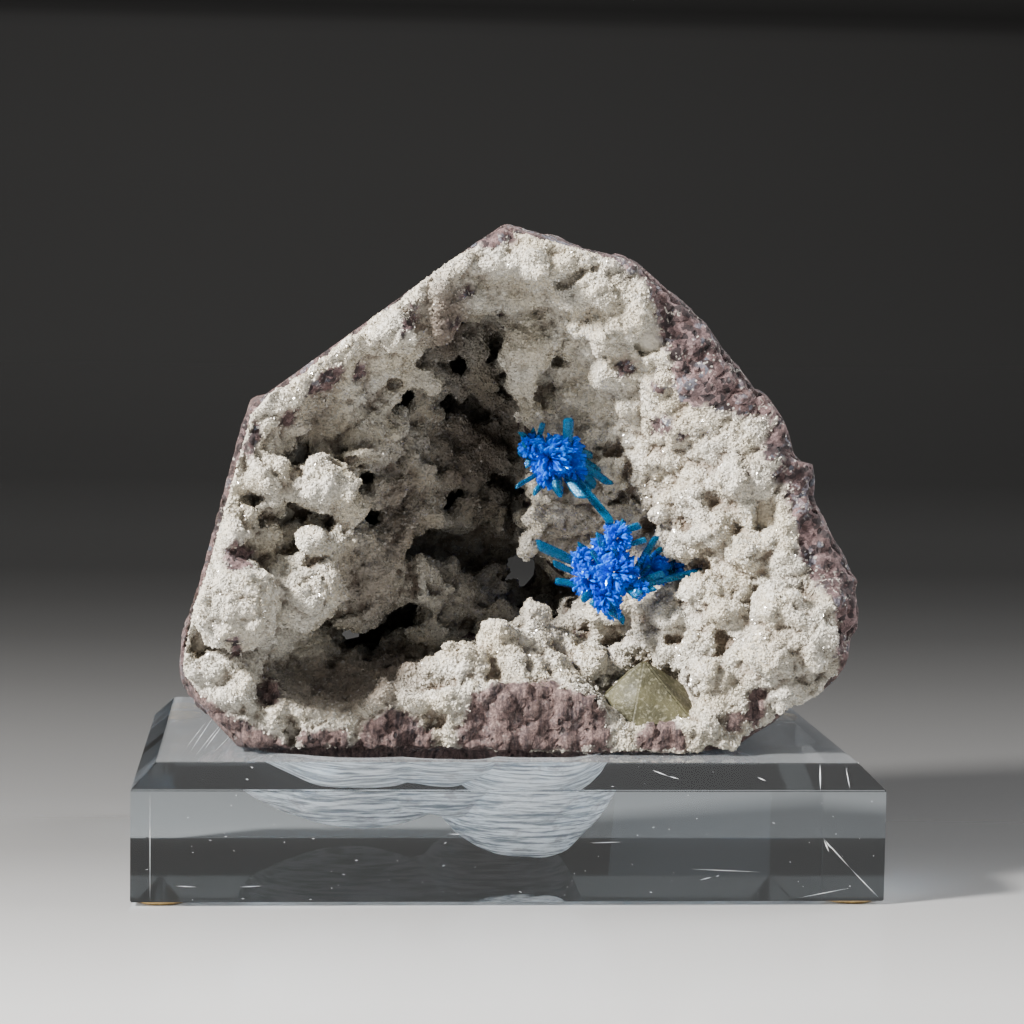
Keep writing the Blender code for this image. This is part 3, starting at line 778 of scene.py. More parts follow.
beyond = np.minimum(0.0, places[:, 0] - LEFTMOST * MM)
places[:, 0] -= beyond * (1 - LEFT_SQUEEZE)
set_places(rock.data, places)
front_low = np.clip((34.0 - places[:, 2] / MM) / 3.0, 0.0, 1.0) * (outwards[:, 1] < -0.6)
store(rock.data, "sawn", np.maximum(sawn, front_low))
rock.data.shade_smooth()
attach(rock, "root")
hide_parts("basalt_matrix")
print("rock:", triangles(rock), "triangles")

# %% [markdown]
# ## Druse finish
# The crust is a skin of colourless to cream crystals. It is whitest where it stands out and turns grey-brown in the
# hollows and far back in the cavity, which is painted shade. The mesh carries values for each point, how bare it
# is, how deep it lies in a hollow and how far back it lies, and the finish mixes its colours by them.

# %% Druse finish
druse_finish = Finish("druse_crust", {"IOR": 1.5, "Subsurface Weight": 0.0})
bare = druse_finish.attribute("bare")
hollow = druse_finish.attribute("hollow")
cream = druse_finish.spread(druse_finish.cloud(9.0, 3.0), 0.4, 0.65)
crust = druse_finish.mixed(cream, tone(208, 203, 191), tone(202, 192, 171))
fine = druse_finish.spread(druse_finish.cloud(0.5, 3.0, 0.6), 0.35, 0.65)
crust = druse_finish.mixed(fine, druse_finish.mixed(0.2, crust, tone(112, 98, 84)), crust)
# Painted shade: grey-brown in the hollows, and darker still far back in the cavity.
crust = druse_finish.mixed(hollow, crust, tone(112, 98, 84))
crust = druse_finish.mixed(druse_finish.attribute("deep") * 0.4, crust, tone(104, 96, 90))
base_colour, base_holes, base_grain = basalt_colours(druse_finish)
druse_finish.feed("Base Color", druse_finish.mixed(bare, crust, base_colour))
druse_finish.feed("Roughness", druse_finish.spread(bare, 0.0, 1.0, 0.5, 0.85))
sugar_height = druse_finish.cells(0.55) * (1 - bare) - base_holes * bare + base_grain * 0.5
druse_finish.feed("Normal", druse_finish.bumped(sugar_height, 0.35))

# %% [markdown]
# ## Lumps of the crust
# The crust swells in rounded lumps. The large ones are listed one by one, each by its pixel and radii in the
# picture, and sit on the CAD lining where the line of sight meets it. Between them Geometry Nodes scatter
# hundreds of small knobs. A scatter suits them, because they only have to be evenly strewn and melt together.

# %% Large lumps
# Each lump: middle in pixels, half width and half height in pixels, and the share of it that stands out.
LARGE_LUMPS = {
    "nose": (441, 315, 22, 28, 1.2), "nose_ball": (468, 289, 14, 15, 0.8), "nose_tip": (408, 346, 9, 8, 0.6),
    "bright_edge": (396, 330, 19, 20, 0.6), "under_nose": (422, 379, 14, 11, 0.7),
    "roof_left": (513, 293, 15, 17, 0.5), "roof_middle": (538, 266, 17, 14, 0.5), "roof_right": (573, 298, 20, 13, 0.5),
    "roof_high": (500, 262, 20, 12, 0.3), "wall_corner": (604, 291, 18, 15, 0.5), "wall_side": (636, 308, 14, 24, 0.5),
    "wall_big": (530, 345, 27, 31, 1.2), "wall_a": (577, 325, 15, 18, 0.5), "wall_b": (605, 331, 21, 22, 0.5),
    "wall_c": (571, 388, 17, 17, 0.6), "wall_d": (552, 406, 14, 18, 0.6), "wall_e": (613, 373, 24, 19, 0.6),
    "wall_f": (597, 404, 15, 14, 0.5), "wall_g": (628, 407, 15, 13, 0.5), "wall_h": (586, 431, 11, 13, 0.5),
    "by_spray": (608, 469, 12, 16, 0.7), "under_spray": (560, 508, 20, 15, 0.8), "link_side": (611, 495, 15, 11, 0.6),
    "spray_right": (636, 512, 12, 12, 0.5),
    "shoulder": (352, 436, 44, 38, 1.0), "shoulder_edge": (386, 440, 16, 26, 0.6), "shoulder_lip": (363, 453, 24, 6, 0.9),
    "grey_lump": (322, 486, 34, 25, 1.5), "grey_low": (344, 506, 20, 15, 1.2), "pitted": (379, 494, 10, 18, 0.8),
    "bright_lump": (315, 538, 13, 13, 1.8), "bright_second": (336, 538, 13, 13, 1.5), "cream_ball": (235, 533, 15, 12, 1.2),
    "field": (262, 476, 27, 24, 0.5), "field_low": (262, 508, 24, 10, 0.4), "mid_left": (262, 535, 18, 14, 0.4),
    "big_left": (236, 602, 42, 44, 1.0), "big_right": (296, 592, 44, 36, 1.3), "big_tip": (318, 580, 24, 28, 1.4),
    "round_lump": (368, 575, 36, 42, 1.35), "round_low": (356, 606, 34, 22, 1.2), "round_top": (356, 545, 26, 14, 1.2),
    "window_lump": (284, 640, 14, 12, 0.6), "amber_lump": (309, 642, 14, 10, 0.4),
    "low_left_a": (205, 672, 18, 14, 0.4), "low_left_b": (238, 690, 18, 16, 0.4), "low_left_c": (274, 712, 14, 14, 0.4),
    "floor_a": (448, 608, 30, 26, 0.8), "floor_b": (396, 643, 12, 9, 0.7), "floor_c": (430, 636, 18, 14, 0.7),
    "floor_d": (352, 676, 26, 12, 0.5), "floor_e": (476, 590, 16, 14, 0.6), "floor_f": (500, 618, 14, 14, 0.6),
    "ridge_a": (420, 682, 30, 20, 1.2), "ridge_b": (462, 662, 24, 20, 1.2), "ridge_c": (500, 640, 22, 20, 1.2),
    "ridge_d": (532, 628, 18, 24, 1.2), "ridge_e": (576, 618, 16, 18, 0.8), "ridge_f": (600, 612, 18, 16, 1.2),
    "ridge_g": (552, 658, 10, 9, 0.8), "ridge_h": (588, 662, 20, 14, 0.7), "ridge_i": (390, 700, 24, 16, 0.6),
    "ridge_j": (514, 664, 18, 12, 0.6), "ridge_k": (448, 700, 22, 14, 0.5),
    "right_a": (700, 486, 24, 22, 0.4), "right_b": (736, 480, 22, 20, 0.4), "right_c": (676, 510, 22, 18, 0.4),
    "right_d": (716, 526, 24, 20, 0.5), "right_e": (690, 545, 22, 16, 0.6), "right_f": (748, 548, 20, 18, 0.4),
    "right_g": (704, 590, 24, 18, 1.1), "right_h": (724, 612, 22, 16, 1.1), "right_i": (670, 620, 18, 18, 0.6),
    "right_j": (694, 650, 20, 16, 0.7), "right_k": (640, 636, 14, 12, 0.6), "right_l": (650, 460, 18, 18, 0.4),
    "right_m": (776, 608, 24, 26, 0.9), "right_n": (806, 632, 28, 32, 0.6), "right_o": (768, 652, 26, 24, 1.0),
    "right_p": (790, 684, 26, 18, 0.5), "right_q": (708, 680, 22, 20, 1.0), "right_r": (734, 700, 20, 14, 0.4),
    "right_s": (700, 720, 14, 14, 0.5), "right_t": (824, 600, 18, 24, 0.4),
    "edge_a": (522, 384, 12, 13, 0.5), "edge_b": (532, 414, 12, 12, 0.5), "edge_c": (540, 490, 13, 13, 0.5),
    "edge_d": (534, 518, 14, 12, 0.5), "edge_e": (530, 542, 10, 10, 0.5), "edge_f": (514, 362, 10, 12, 0.5),
}


def add_ball(shape, centre, radii, detail=3):
    """A ball stretched to its three radii, added to a bmesh."""
    place = Matrix.Translation(centre) @ Matrix.Diagonal((*radii, 1.0))
    bmesh.ops.create_icosphere(shape, subdivisions=detail, radius=1.0, matrix=place)


def millimetres_per_pixel(point):
    return (point - CAMERA_PLACE).dot(CAMERA_AIM) / FOCAL


# The front of these lumps, as a depth y in millimetres. Each hangs over the hollow on a stem.
FRONT_DEPTHS = {
    "shoulder": -18.0, "shoulder_edge": -13.0, "shoulder_lip": -21.0, "pitted": -15.0, "round_lump": -16.5,
    "round_low": -14.0, "round_top": -16.0, "big_tip": -27.0, "big_right": -27.5, "grey_lump": -27.0,
    "grey_low": -24.5, "bright_lump": -26.5, "bright_second": -25.0, "nose": -26.0, "nose_tip": -25.0,
    "under_nose": -15.0, "floor_a": -4.0, "floor_b": -6.0, "floor_c": -9.0, "floor_e": 2.0, "wall_big": -20.0,
    "edge_a": -16.0, "edge_b": -15.5, "edge_c": -14.0, "edge_d": -13.0, "edge_e": -11.5, "edge_f": -17.0,
}


def add_stemmed(shape, px, py, depth, wide, high):
    """A lump whose front is at a depth, and a stem from it to the crust behind it."""
    deep = min(wide, high)
    centre = at_depth(px, py, depth + deep / MM)
    add_ball(shape, centre, (wide, deep, high))
    hit, facing = on_lining(px, py)
    length = (hit - centre).length
    if hit.y > centre.y and length > deep / 2:
        add_ball(shape, (hit + centre) / 2, (wide * 0.8, length / 2 + 0.5 * MM, high * 0.8))


for name, (px, py, half_width, half_height, proud) in LARGE_LUMPS.items():
    hit, facing = on_lining(px, py)
    wide, high = half_width * millimetres_per_pixel(hit), half_height * millimetres_per_pixel(hit)
    if name in FRONT_DEPTHS:
        add_stemmed(lining, px, py, FRONT_DEPTHS[name], wide, high)
        continue
    deep = min(wide, high)
    add_ball(lining, hit - sight(px, py) * deep * (2 * proud - 1) * 0.5, (wide, deep, high))
print(len(LARGE_LUMPS), "large lumps")

# %% Lumps inside the hollow
# The left wall of the hollow runs back in steps. Each corner of this strip is a pixel and a depth in millimetres.
HOLLOW_WALL = (
    ((402, 350, -12.0), (470, 330, 2.0), (492, 372, 10.0)), ((380, 420, -13.0), (440, 400, 1.0), (505, 420, 11.0)),
    ((388, 480, -14.0), (445, 480, 0.0), (520, 470, 9.0)), ((396, 530, -13.0), (450, 545, 4.0), (530, 530, 12.0)),
    ((408, 590, -14.0), (470, 600, -2.0), (530, 600, 8.0)),
)
WALL_ROWS, WALL_COLUMNS, WALL_SEED = 13, 8, 5
WALL_RADIUS = (8.0, 15.0)
WALL_GAPS = ((478, 413, 36, 15), (462, 546, 60, 24), (519, 570, 24, 24))


def strip_point(strip, down, across):
    """A point of a strip of pixels and depths, by its shares down and across."""
    grid = np.array(strip, float)
    row, column = down * (grid.shape[0] - 1), across * (grid.shape[1] - 1)
    i, j = min(int(row), grid.shape[0] - 2), min(int(column), grid.shape[1] - 2)
    a, b = row - i, column - j
    top = grid[i, j] * (1 - b) + grid[i, j + 1] * b
    bottom = grid[i + 1, j] * (1 - b) + grid[i + 1, j + 1] * b
    return top * (1 - a) + bottom * a


HOLLOW_FLOOR = (
    ((285, 652, -13.0), (340, 655, -9.0), (396, 650, -6.0)), ((296, 684, -17.5), (345, 690, -16.0), (400, 688, -17.0)),
    ((300, 714, -24.0), (350, 706, -22.5), (392, 706, -24.0)),
)
FLOOR_ROWS, FLOOR_COLUMNS = 6, 8

dice = random.Random(WALL_SEED)
wall_lumps = 0
for strip, rows, columns in ((HOLLOW_WALL, WALL_ROWS, WALL_COLUMNS), (HOLLOW_FLOOR, FLOOR_ROWS, FLOOR_COLUMNS)):
    for step in range(rows * columns):
        row, column = divmod(step, columns)
        down = min(max((row + dice.uniform(-0.4, 0.4)) / (rows - 1), 0.0), 1.0)
        across = min(max((column + dice.uniform(-0.4, 0.4)) / (columns - 1), 0.0), 1.0)
        px, py, depth = strip_point(strip, down, across)
        radius = dice.uniform(*WALL_RADIUS)
        depth += dice.uniform(-2.0, 2.0)
        if strip is HOLLOW_FLOOR:
            hit, facing = on_lining(px, py)
            wide = 0.75 * radius * millimetres_per_pixel(hit)
            add_ball(lining, hit, (wide, wide, wide))
            wall_lumps += 1
            continue
        if any(((px - x) / wide) ** 2 + ((py - y) / high) ** 2 < 1 for x, y, wide, high in WALL_GAPS):
            continue
        hit, facing = on_lining(px, py)
        if hit.y / MM - depth < 1.0:
            continue
        wide = radius * millimetres_per_pixel(hit)
        add_stemmed(lining, px, py, depth, wide, wide)
        wall_lumps += 1
print(wall_lumps, "lumps on the wall of the hollow")

# %% Knobs by Geometry Nodes
KNOB_SPACING, KNOB_SMALL, KNOB_LARGE, KNOB_SEED = 2.5, 0.6, 1.6, 11


class Recipe(Graph):
    """A Geometry Nodes tree with named inputs, for a modifier on a piece."""

    def __init__(self, name):
        super().__init__(bpy.data.node_groups.new(name, "GeometryNodeTree"))
        self.tree.interface.new_socket("Geometry", in_out="INPUT", socket_type="NodeSocketGeometry")
        self.tree.interface.new_socket("Geometry", in_out="OUTPUT", socket_type="NodeSocketGeometry")
        self.entry = self.tree.nodes.new("NodeGroupInput")
        self.exit = self.tree.nodes.new("NodeGroupOutput")

    def asks(self, name, kind="NodeSocketFloat"):
        self.tree.interface.new_socket(name, in_out="INPUT", socket_type=kind)
        return Link(self, self.entry.outputs[name])

    @property
    def geometry(self):
        return Link(self, self.entry.outputs["Geometry"])

    def serves(self, shape, finish):
        """Ends the tree: real faces, one material."""
        real = self.node("GeometryNodeRealizeInstances", None, {"Geometry": shape})
        painted = self.node("GeometryNodeSetMaterial", None, {"Geometry": real, "Material": finish.material})
        self.tree.links.new(painted.socket, self.exit.inputs[0])

    def apply_to(self, piece, values):
        modifier = piece.modifiers.new(self.tree.name, "NODES")
        modifier.node_group = self.tree
        for item in self.tree.interface.items_tree:
            if item.in_out == "INPUT" and item.name in values:
                modifier[item.identifier] = values[item.name]
        return settle(piece)


knobs = Recipe("strewn_knobs")
spacing, smallest, largest = knobs.asks("Spacing"), knobs.asks("Smallest"), knobs.asks("Largest")
seed = knobs.asks("Seed", "NodeSocketInt")
strewn = knobs.node(
    "GeometryNodeDistributePointsOnFaces", {"distribute_method": "POISSON"},
    {
        "Mesh": knobs.geometry, "Distance Min": spacing, "Density Max": 1e6, "Seed": seed,
        "Density Factor": knobs.node(
            "GeometryNodeInputNamedAttribute", {"data_type": "FLOAT"}, {"Name": "crust"}, "Attribute"
        ),
    },
)
ball = knobs.node("GeometryNodeMeshIcoSphere", None, {"Radius": 1.0, "Subdivisions": 2})
size = knobs.node(
    "FunctionNodeRandomValue", {"data_type": "FLOAT"}, {2: smallest, 3: largest, "Seed": seed}, 1,
)
balls = knobs.node("GeometryNodeInstanceOnPoints", None, {"Points": strewn, "Instance": ball, "Scale": size})
both = knobs.tree.nodes.new("GeometryNodeJoinGeometry")
knobs.tree.links.new(balls.socket, both.inputs[0])
knobs.tree.links.new(knobs.geometry.socket, both.inputs[0])
knobs.serves(Link(knobs, both.outputs[0]), druse_finish)

# %% Druse crust
DRUSE_VOXEL = 0.665
HIDDEN_REACH = 1.3


def hidden_share(places, outwards):
    """1 where a point is inside the basalt or faces it from close by, so that nobody sees it."""
    hidden = np.zeros(len(places))
    for index, (place, outward) in enumerate(zip(map(Vector, places), map(Vector, outwards))):
        nearest, facing, _, _ = basalt_tree.find_nearest(place)
        inside = (place - nearest).dot(facing) < 0
        if inside or basalt_tree.ray_cast(place, outward, HIDDEN_REACH * MM)[0] is not None:
            hidden[index] = 1.0
    return hidden


crust_piece = piece_from("druse_crust", lining, druse_finish)
places, outwards = places_of(crust_piece.data), outwards_of(crust_piece.data)
visible = 1 - hidden_share(places, outwards)
store(crust_piece.data, "crust", visible * (1 - bare_share(places)))
knobs.apply_to(crust_piece, {
    "Spacing": KNOB_SPACING * MM, "Smallest": KNOB_SMALL * MM, "Largest": KNOB_LARGE * MM, "Seed": KNOB_SEED,
})
print("crust with knobs:", triangles(crust_piece), "triangles")
remeshed(crust_piece, DRUSE_VOXEL)
print("skin of", triangles(crust_piece), "triangles")
# %% [markdown]
# ## Painted shade in the hollows
# Points that lie lower than their surroundings get painted shade, and so do points far back in the cavity.
# Averaging each point with its neighbours many times gives the surroundings, and the difference along the normal
# tells how deep the point lies.


# %% Hollows
def neighbour_mean(mesh, values, rounds):
    """Averages a value or a place over the edges of a mesh, round after round."""
    ends = np.empty(len(mesh.edges) * 2, int)
    mesh.edges.foreach_get("vertices", ends)
    first, second = ends[0::2], ends[1::2]
    count = np.bincount(ends, minlength=len(mesh.vertices)).astype(float)
    for _ in range(rounds):
        total = np.zeros_like(values)
        for axis in range(values.shape[1]):
            total[:, axis] = (
                np.bincount(first, values[second, axis], len(mesh.vertices))
                + np.bincount(second, values[first, axis], len(mesh.vertices))
            )
        values = 0.5 * values + 0.5 * total / count[:, None]
    return values


SOFTENING_ROUNDS, SURROUNDING_ROUNDS = 3, 40
NEAR_ROUNDS = 6
SUNK_FULL, CREASE_FULL = 1.1, 0.4
OUTLINE_TRIM = 1.5
LET_IN = 1.6
# Painted shade on the crust, or painted light below zero: a place, two radii in pixels and how strongly.
PAINTED_SHADES_AND_LIGHTS = (
    (446, 322, 22, 40, 1.0), (345, 682, 62, 28, 0.85), (372, 584, 30, 44, 0.6), (392, 662, 30, 20, 0.9),
    (318, 416, 16, 30, 0.4), (398, 520, 26, 60, 0.7), (585, 412, 34, 30, -0.9), (300, 643, 26, 12, -0.8),
    (612, 350, 56, 60, -0.6), (540, 280, 56, 36, -0.5), (470, 450, 40, 56, 0.8),
)

places = neighbour_mean(crust_piece.data, places_of(crust_piece.data), SOFTENING_ROUNDS)
hidden = hidden_share(places, outwards_of(crust_piece.data))
pushed = np.where((hidden < 0.5)[:, None], pushed_in(places), places)
set_places(crust_piece.data, opened(stretched_to_outline(pushed, OUTLINE_TRIM)))
places, outwards = places_of(crust_piece.data), outwards_of(crust_piece.data)
bare_here = bare_share(places)
domes = 0.95 * (pebbles(places, 5.2, 2.0) - 0.75) + 0.6 * (pebbles(places, 2.4, 8.0) - 0.75)
crystals = domes + 0.12 * waves(places, 1.3, 2, 7.0)
rubble = 0.6 * waves(places, 2.6, 3, 4.0) + 0.8 * (pebbles(places, 2.1, 14.0) - 0.7)
lift = (crystals * (1 - bare_here) + rubble * bare_here) * (1 - hidden)
places = trimmed(places + outwards * (lift * MM)[:, None], OUTLINE_TRIM)
# The back of the crust is let into the rock at the rim, so that no gap stays between them.
radius, turns, _ = polar(places)
at_rim = np.clip((radius - traced_radius(turns) + 14.0) / 6.0, 0.0, 1.0) * (places[:, 1] < -20.0 * MM)
places[:, 1] += at_rim * np.clip((outwards[:, 1] - 0.1) * 3.0, 0.0, 1.0) * LET_IN * MM
set_places(crust_piece.data, places)
places, outwards = places_of(crust_piece.data), outwards_of(crust_piece.data)
near_by = neighbour_mean(crust_piece.data, places, NEAR_ROUNDS)
surroundings = neighbour_mean(crust_piece.data, near_by, SURROUNDING_ROUNDS)
sunk = ((surroundings - places) * outwards).sum(axis=1) / MM
crease = ((near_by - places) * outwards).sum(axis=1) / MM
# Painted shade in the hollows and creases of the crust.
hollow_shade_share = np.clip(0.75 * sunk / SUNK_FULL + 0.6 * crease / CREASE_FULL, 0.0, 1.0)
# Painted shade that grows towards the back of the cavity.
depth_shade_share = np.clip((places[:, 1] / MM + 14.0) / 22.0, 0.0, 1.0)
shade = np.zeros(len(places))
for px, py, wide, high, strength in PAINTED_SHADES_AND_LIGHTS:
    away = (to_pixels(places) - (px, py)) / (wide, high)
    share = strength * np.clip(1.5 - np.linalg.norm(away, axis=1), 0.0, 1.0)
    shade = np.where(np.abs(share) > np.abs(shade), share, shade)
# Each patch deepens both painted shades, or lightens them as painted light where its strength is below zero.
hollow_shade_share = np.where(shade > 0, np.maximum(hollow_shade_share, shade), hollow_shade_share * (1 + shade))
depth_shade_share = np.where(shade > 0, np.maximum(depth_shade_share, shade), depth_shade_share * (1 + shade))
store(crust_piece.data, "bare", bare_here)
store(crust_piece.data, "hollow", hollow_shade_share)
store(crust_piece.data, "deep", depth_shade_share)
store(crust_piece.data, "sawn", np.clip((34.0 - places[:, 2] / MM) / 3.0, 0.0, 1.0))
radius, turns, _ = polar(places)
rim_here = traced_radius(turns) - OUTLINE_TRIM - LEFT_TRIM * left_share(turns)
sawn_off = (radius > rim_here - 1.0) & (np.abs(outwards[:, 1]) < 0.7)
sheltered = (1 - 0.5 * depth_shade_share) * (1 - 0.45 * hollow_shade_share)
store(crust_piece.data, "crust", (1 - hidden) * (1 - bare_here) * ~sawn_off * sheltered)
crust_piece.data.shade_smooth()
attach(crust_piece, "root")
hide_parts("druse_lining")
print("hollow share runs from", sunk.min().round(2), "to", sunk.max().round(2))

# %% [markdown]
# ## Sugar
# Each grain of the crust is a crystal of half a millimetre. Tens of thousands of them are needed, so Geometry
# Nodes strew a pyramid of six triangles over the crust, each with its own size, lean and turn. Their flat faces
# catch the lamp one by one, which makes the sparkle. A piece may hold 200,000 triangles, so they are strewn in
# five lots, each with its own seed.

# %% Sugar finish
sugar_finish = Finish("druse_sugar", {
    "IOR": 1.55, "Transmission Weight": 0.3, "Coat Weight": 0.4, "Coat Roughness": 0.05,
})
hollow = sugar_finish.attribute("hollow")
warm = sugar_finish.spread(sugar_finish.cloud(8.0, 3.0), 0.4, 0.65)
sugar_colour = sugar_finish.mixed(warm, tone(222, 218, 207), tone(214, 205, 185))
speckle = sugar_finish.spread(sugar_finish.cloud(0.8, 2.0), 0.4, 0.62)
sugar_colour = sugar_finish.mixed(speckle, sugar_finish.mixed(0.15, sugar_colour, tone(150, 138, 122)), sugar_colour)
# Painted shade on the grains: grey-brown in the hollows and darker far back in the cavity.
sugar_colour = sugar_finish.mixed(hollow * 0.8, sugar_colour, tone(126, 112, 96))
sugar_colour = sugar_finish.mixed(sugar_finish.attribute("deep") * 0.4, sugar_colour, tone(112, 104, 98))
sugar_finish.feed("Base Color", sugar_colour)
sugar_finish.feed("Roughness", sugar_finish.spread(sugar_finish.cloud(1.1, 1.0), 0.3, 0.7, 0.06, 0.4))

# %% Sugar by Geometry Nodes
SUGAR_LOTS, SUGAR_PER_SQUARE_MM = 5, 1.8
SUGAR_SMALL, SUGAR_LARGE = 0.11, 0.27
SUGAR_LEAN = 0.9

sugar = Recipe("strewn_sugar")
density, smallest, largest = sugar.asks("Density"), sugar.asks("Smallest"), sugar.asks("Largest")
lean, seed = sugar.asks("Lean"), sugar.asks("Seed", "NodeSocketInt")
crust_here = sugar.node("GeometryNodeInputNamedAttribute", {"data_type": "FLOAT"}, {"Name": "crust"}, "Attribute")
grains = sugar.node(
    "GeometryNodeDistributePointsOnFaces", {"distribute_method": "RANDOM"},
    {"Mesh": sugar.geometry, "Density": density * crust_here, "Seed": seed},
)
facing = Link(sugar, grains.socket.node.outputs["Rotation"])
turn_least = sugar.node("ShaderNodeCombineXYZ", None, {"X": lean * -1.0, "Y": lean * -1.0, "Z": -math.pi})
turn_most = sugar.node("ShaderNodeCombineXYZ", None, {"X": lean, "Y": lean, "Z": math.pi})
turned = sugar.node("FunctionNodeRandomValue", {"data_type": "FLOAT_VECTOR"}, {0: turn_least, 1: turn_most, "Seed": seed})
placed = sugar.node(
    "FunctionNodeRotateRotation", {"rotation_space": "LOCAL"}, {"Rotation": facing, "Rotate By": turned}
)
size = sugar.node("FunctionNodeRandomValue", {"data_type": "FLOAT"}, {2: smallest, 3: largest, "Seed": seed}, 1)
grain = sugar.node(
    "GeometryNodeMeshCone", {"fill_type": "NGON"},
    {"Vertices": 3, "Side Segments": 1, "Fill Segments": 1, "Radius Top": 0.55, "Radius Bottom": 1.0, "Depth": 1.5},
)
grain = sugar.node("GeometryNodeTransform", None, {"Geometry": grain, "Translation": (0.0, 0.0, -0.7)})
strewn = sugar.node(
    "GeometryNodeInstanceOnPoints", None,
    {"Points": grains, "Instance": grain, "Rotation": placed, "Scale": size},
)
sugar.serves(strewn, sugar_finish)

total = 0
for lot in range(SUGAR_LOTS):
    piece = bpy.data.objects.new(f"druse_sugar_{lot + 1}", crust_piece.data.copy())
    bpy.context.scene.collection.objects.link(piece)
    sugar.apply_to(piece, {
        "Density": SUGAR_PER_SQUARE_MM / MM ** 2, "Smallest": SUGAR_SMALL * MM, "Largest": SUGAR_LARGE * MM,
        "Lean": SUGAR_LEAN, "Seed": 100 + lot,
    })
    piece.data.shade_flat()
    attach(piece, "root")
    total += triangles(piece)
    print(piece.name, triangles(piece), "triangles")
print("sugar:", total, "triangles in all")

# %% [markdown]
# ## Pentagonite
# Each blue spray is a burst of flat prisms. The long ones are thin enough to look through and turn teal, and
# where many short ones crowd together the blue is deep. Both sprays and the prism between them are one piece.
# The long blades are placed one by one, by the pixels of their two ends and their depths, and a seeded random
# burst fills each ball. The prisms are real closed shapes, so light bends through them, and in the long blades it
# is filtered by an absorption in their volume.

# %% Pentagonite finish
body_finish = Finish("pentagonite_crowded", {
    "IOR": 1.55, "Transmission Weight": 0.3, "Specular IOR Level": 0.3, "Specular Tint": (0.3, 0.7, 1.0, 1.0),
})
depth_of_blue = body_finish.spread(body_finish.cloud(2.4, 2.0), 0.38, 0.62)
body_finish.feed("Base Color", body_finish.mixed(depth_of_blue, tone(0, 76, 222), tone(0, 124, 255)))
body_finish.feed("Roughness", body_finish.spread(body_finish.cloud(0.4, 2.0), 0.4, 0.7, 0.06, 0.28))
blade_finish = Finish("pentagonite_clear", {
    "IOR": 1.55, "Transmission Weight": 0.8, "Specular IOR Level": 0.15, "Specular Tint": (0.3, 0.7, 1.0, 1.0),
})
streaks = blade_finish.node(
    "ShaderNodeTexNoise", {"noise_dimensions": "1D"},
    {"W": blade_finish.attribute("across") * 9.0, "Scale": 1.0, "Detail": 2.0},
)
streaked = blade_finish.mixed(blade_finish.spread(streaks, 0.4, 0.62), tone(0, 84, 150), tone(10, 170, 220))
blade_finish.feed("Base Color", streaked)
blade_finish.feed("Roughness", blade_finish.spread(blade_finish.cloud(0.5, 2.0), 0.4, 0.7, 0.16, 0.3))
blade_finish.feed("Normal", blade_finish.bumped(streaks, 0.05, 0.7))
blade_finish.absorbs((0.0, 0.48, 0.76, 1.0), 1600.0)

# %% Blades
BLADE_THICKNESS = 0.5
# Long blades: the root and the tip, each as a pixel and a depth y in millimetres, then the width in pixels.
UPPER_BLADES = (
    ((568, 446, -17.5), (568.5, 418.5, -19.0), 11), ((539, 438, -18.0), (543, 423, -18.5), 7),
    ((536, 440, -18.0), (532, 429, -18.5), 5), ((532, 444, -18.5), (521, 432, -19.5), 6),
    ((530, 448, -18.0), (519, 455, -19.0), 7), ((529, 449, -18.0), (528, 467, -19.0), 6),
    ((532, 440, -18.0), (524, 446, -20.0), 8), ((543, 471, -17.5), (516.5, 486.5, -19.5), 6),
    ((549, 476, -17.5), (534, 493, -19.0), 7), ((547, 474, -17.0), (540, 489, -18.0), 6),
    ((556, 471, -18.0), (557.8, 493, -20.0), 13), ((566, 478, -18.0), (582, 498, -20.5), 9),
    ((576, 459, -17.0), (609.5, 484, -15.5), 9), ((578, 450, -16.0), (592, 456, -14.5), 8),
    ((574, 446, -16.0), (584, 448, -15.0), 8), ((576, 466, -16.0), (595, 486, -14.5), 10),
    ((570, 452, -15.0), (600, 472, -13.0), 8), ((566, 470, -16.5), (590, 492, -15.5), 9),
    ((560, 450, -17.0), (578, 440, -16.0), 8),
)
LINK_BLADES = (((574, 476, -17.5), (613, 524, -19.5), 8.5),)
LOWER_BLADES = (
    ((582, 565, -18.5), (537, 544.5, -20.0), 11), ((578, 574, -19.0), (553, 563, -20.0), 7),
    ((584, 586, -19.0), (555.5, 581, -19.5), 8), ((592, 553, -19.0), (578, 544, -19.5), 5),
    ((602, 567, -20.0), (592, 551, -21.0), 6), ((594, 590, -20.0), (582, 600, -21.5), 9),
    ((608, 594, -20.0), (613.5, 617, -21.0), 10), ((628, 588, -20.0), (640, 596, -22.0), 11),
    ((640, 592, -20.0), (655.5, 588, -20.5), 6), ((634, 572, -18.0), (657, 536, -15.5), 8),
    ((640, 576, -18.0), (650, 565, -17.5), 5), ((634, 584, -18.5), (664, 573, -19.0), 9),
    ((634, 587, -18.5), (702, 571, -17.0), 9), ((648, 574, -16.0), (668, 556, -13.5), 9),
    ((652, 576, -16.0), (680, 562, -13.0), 10), ((654, 578, -15.5), (686, 570, -13.0), 9),
    ((650, 580, -15.0), (676, 574, -13.5), 9), ((612, 560, -19.0), (602.5, 543.5, -20.5), 5),
    ((618, 560, -20.0), (615, 549, -21.0), 4), ((616, 610, -18.0), (624, 622, -17.5), 7),
    ((640, 568, -17.0), (662, 548, -14.5), 6), ((600, 590, -19.5), (592, 606, -20.0), 8),
)
TOP_BLADES = (
    ((626, 530, -19.5), (640, 525, -20.5), 9), ((628, 545, -19.5), (646, 539.5, -20.0), 6),
    ((603, 549, -19.5), (599.5, 533.5, -20.5), 8), ((612, 530, -19.0), (608, 522, -20.0), 7),
    ((622, 528, -19.0), (624, 520, -19.5), 6),
)
